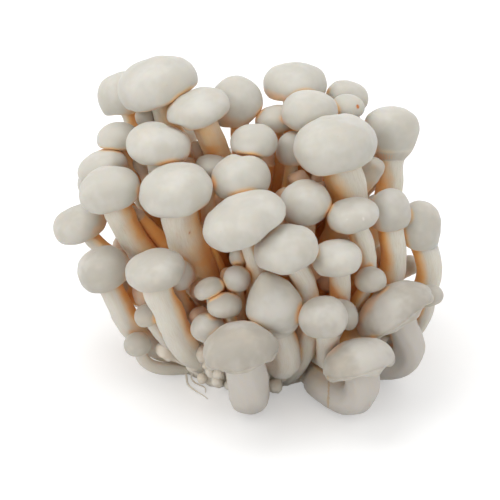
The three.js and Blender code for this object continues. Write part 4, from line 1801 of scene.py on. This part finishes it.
@dataclass
class Studio:
    """A pale floor, soft lamps, a white surrounding and the camera."""

    distance: float = 0.600
    elevation: float = 25.0
    aim: Place = (0.0008, 0.0, 0.41)
    view_width: float = 0.155
    lit: Place = (0.0, 0.0, 0.04)
    sensor: float = 36.0
    floor_size: float = 8.0
    world_light: float = 0.84

    def camera(self) -> None:
        """Looks at the bunch from the front and a little above."""
        low, high = FRAME_BOX
        target = np.array([self.aim[0], self.aim[1], low[2] + self.aim[2] * (high[2] - low[2])])
        lift = np.radians(self.elevation)
        back = np.array([0, -np.cos(lift), np.sin(lift)])
        data = bpy.data.cameras.new("camera")
        data.sensor_width = self.sensor
        data.lens = self.sensor * self.distance / self.view_width
        thing = bpy.data.objects.new("camera", data)
        thing.location = target + back * self.distance
        thing.rotation_euler = (np.pi / 2 - lift, 0, 0)
        bpy.context.scene.collection.objects.link(thing)
        bpy.context.scene.camera = thing

    def lamp(self, name: str, place: Place, size: float, watts: float, tint: Colour) -> None:
        """Hangs a square soft lamp that faces the bunch.

        Args:
            name: its name.
            place: where it hangs.
            size: the length of its side.
            watts: its power.
            tint: its colour.
        """
        data = bpy.data.lights.new(name, "AREA")
        data.size = size
        data.energy = watts
        data.color = tint
        thing = bpy.data.objects.new(name, data)
        away = unit(np.array(place) - self.lit)
        thing.location = place
        thing.rotation_euler = (np.arccos(away[2]), 0, np.arctan2(away[1], away[0]) + np.pi / 2)
        bpy.context.scene.collection.objects.link(thing)

    def world(self) -> None:
        """White where the camera, gloss or glass looks past the object, and soft light elsewhere."""
        n = Nodes(bpy.data.worlds.new("surroundings"), "Background")
        rays = n.node("ShaderNodeLightPath", {}).outputs
        kinds = (rays[f"Is {kind} Ray"] for kind in ("Camera", "Glossy", "Transmission"))
        strength = n.ramp(n.maths("MAXIMUM", *kinds), 0.0, 1.0, self.world_light, 1.0)
        bpy.context.scene.world = n.finish(Color=(1.0, 1.0, 1.0), Strength=strength)

    def floor(self) -> None:
        """A white floor that keeps the bunch's shadow."""
        half = self.floor_size / 2
        corners = [(-half, -half, 0), (half, -half, 0), (half, half, 0), (-half, half, 0)]
        mesh = bpy.data.meshes.new("floor")
        mesh.from_pydata(corners, [], [(0, 1, 2, 3)])
        thing = bpy.data.objects.new("floor", mesh)
        bpy.context.scene.collection.objects.link(thing)
        n = Nodes(bpy.data.materials.new("floor"))
        seen = n.node("ShaderNodeLightPath", {}).outputs["Is Camera Ray"]
        mesh.materials.append(
            n.finish(
                Base_Color=(0.78, 0.78, 0.78),
                Roughness=0.9,
                Specular_IOR_Level=0.1,
                Emission_Color=(1.0, 1.0, 1.0),
                Emission_Strength=n.maths("MULTIPLY", seen, 0.34),
            )
        )
        thing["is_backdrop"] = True

    def build(self) -> None:
        """Sets the whole studio up."""
        bpy.context.scene.view_settings.view_transform = "Standard"
        self.camera()
        self.world()
        self.floor()
        self.lamp("key", (-0.35, 0.12, 1.20), 0.8, 4.4, (1.0, 0.99, 0.975))
        self.lamp("front", (-0.75, -1.05, 0.35), 1.2, 3.0, (1.0, 0.985, 0.97))


# ---- putting it together ----


def main() -> None:
    """Builds the bunch and its studio and reports each piece."""
    logging.basicConfig(level=logging.INFO, format="%(message)s")
    log = logging.getLogger("bunch")
    low, high = (np.array(corner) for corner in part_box(CLUMP))
    middle = np.array([*(low + high)[:2] / 2, 0.0])
    names = sorted(name for name in frame["nodes"] if name != CLUMP)
    rings = [Rings.read(name, middle) for name in names]
    discs = Discs.of(rings)
    shut = discs.shelter(discs.places, discs.normals)
    sizes = np.cumsum([ring.rows[..., 0].size for ring in rings])[:-1]
    mushrooms = [
        Mushroom(ring, part.reshape(ring.rows.shape[:2]), seed, middle)
        for seed, (ring, part) in enumerate(zip(rings, np.split(shut, sizes)))
    ]
    flesh, foot_flesh = MushroomFlesh().material(), ClumpFlesh().material()
    near = closeness([mushroom.skin() for mushroom in mushrooms], Mushroom.nearby)
    pieces = [mushroom.build(flesh, close) for mushroom, close in zip(mushrooms, near)]
    feet = np.array([ring.rows[0].mean(0) for ring in rings])
    spread = [ring.rows[0] - foot for ring, foot in zip(rings, feet)]
    radii = np.array([np.linalg.norm(part, axis=1).mean() for part in spread])
    clump = Clump(feet, radii, discs)
    pieces += [
        clump.build(foot_flesh),
        YoungPins(clump, discs).build(foot_flesh),
        InnerStems(mushrooms, discs).build(flesh),
        RootThreads().build(foot_flesh),
    ]
    for piece in pieces:
        log.info("%s: %d faces", piece.name, len(piece.data.polygons))
    Studio().build()
    boxes = {"cad": FRAME_BOX, "visual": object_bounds()}
    {name: [list(corner) for corner in box] for name, box in boxes.items()}


if __name__ == "__main__":
    main()
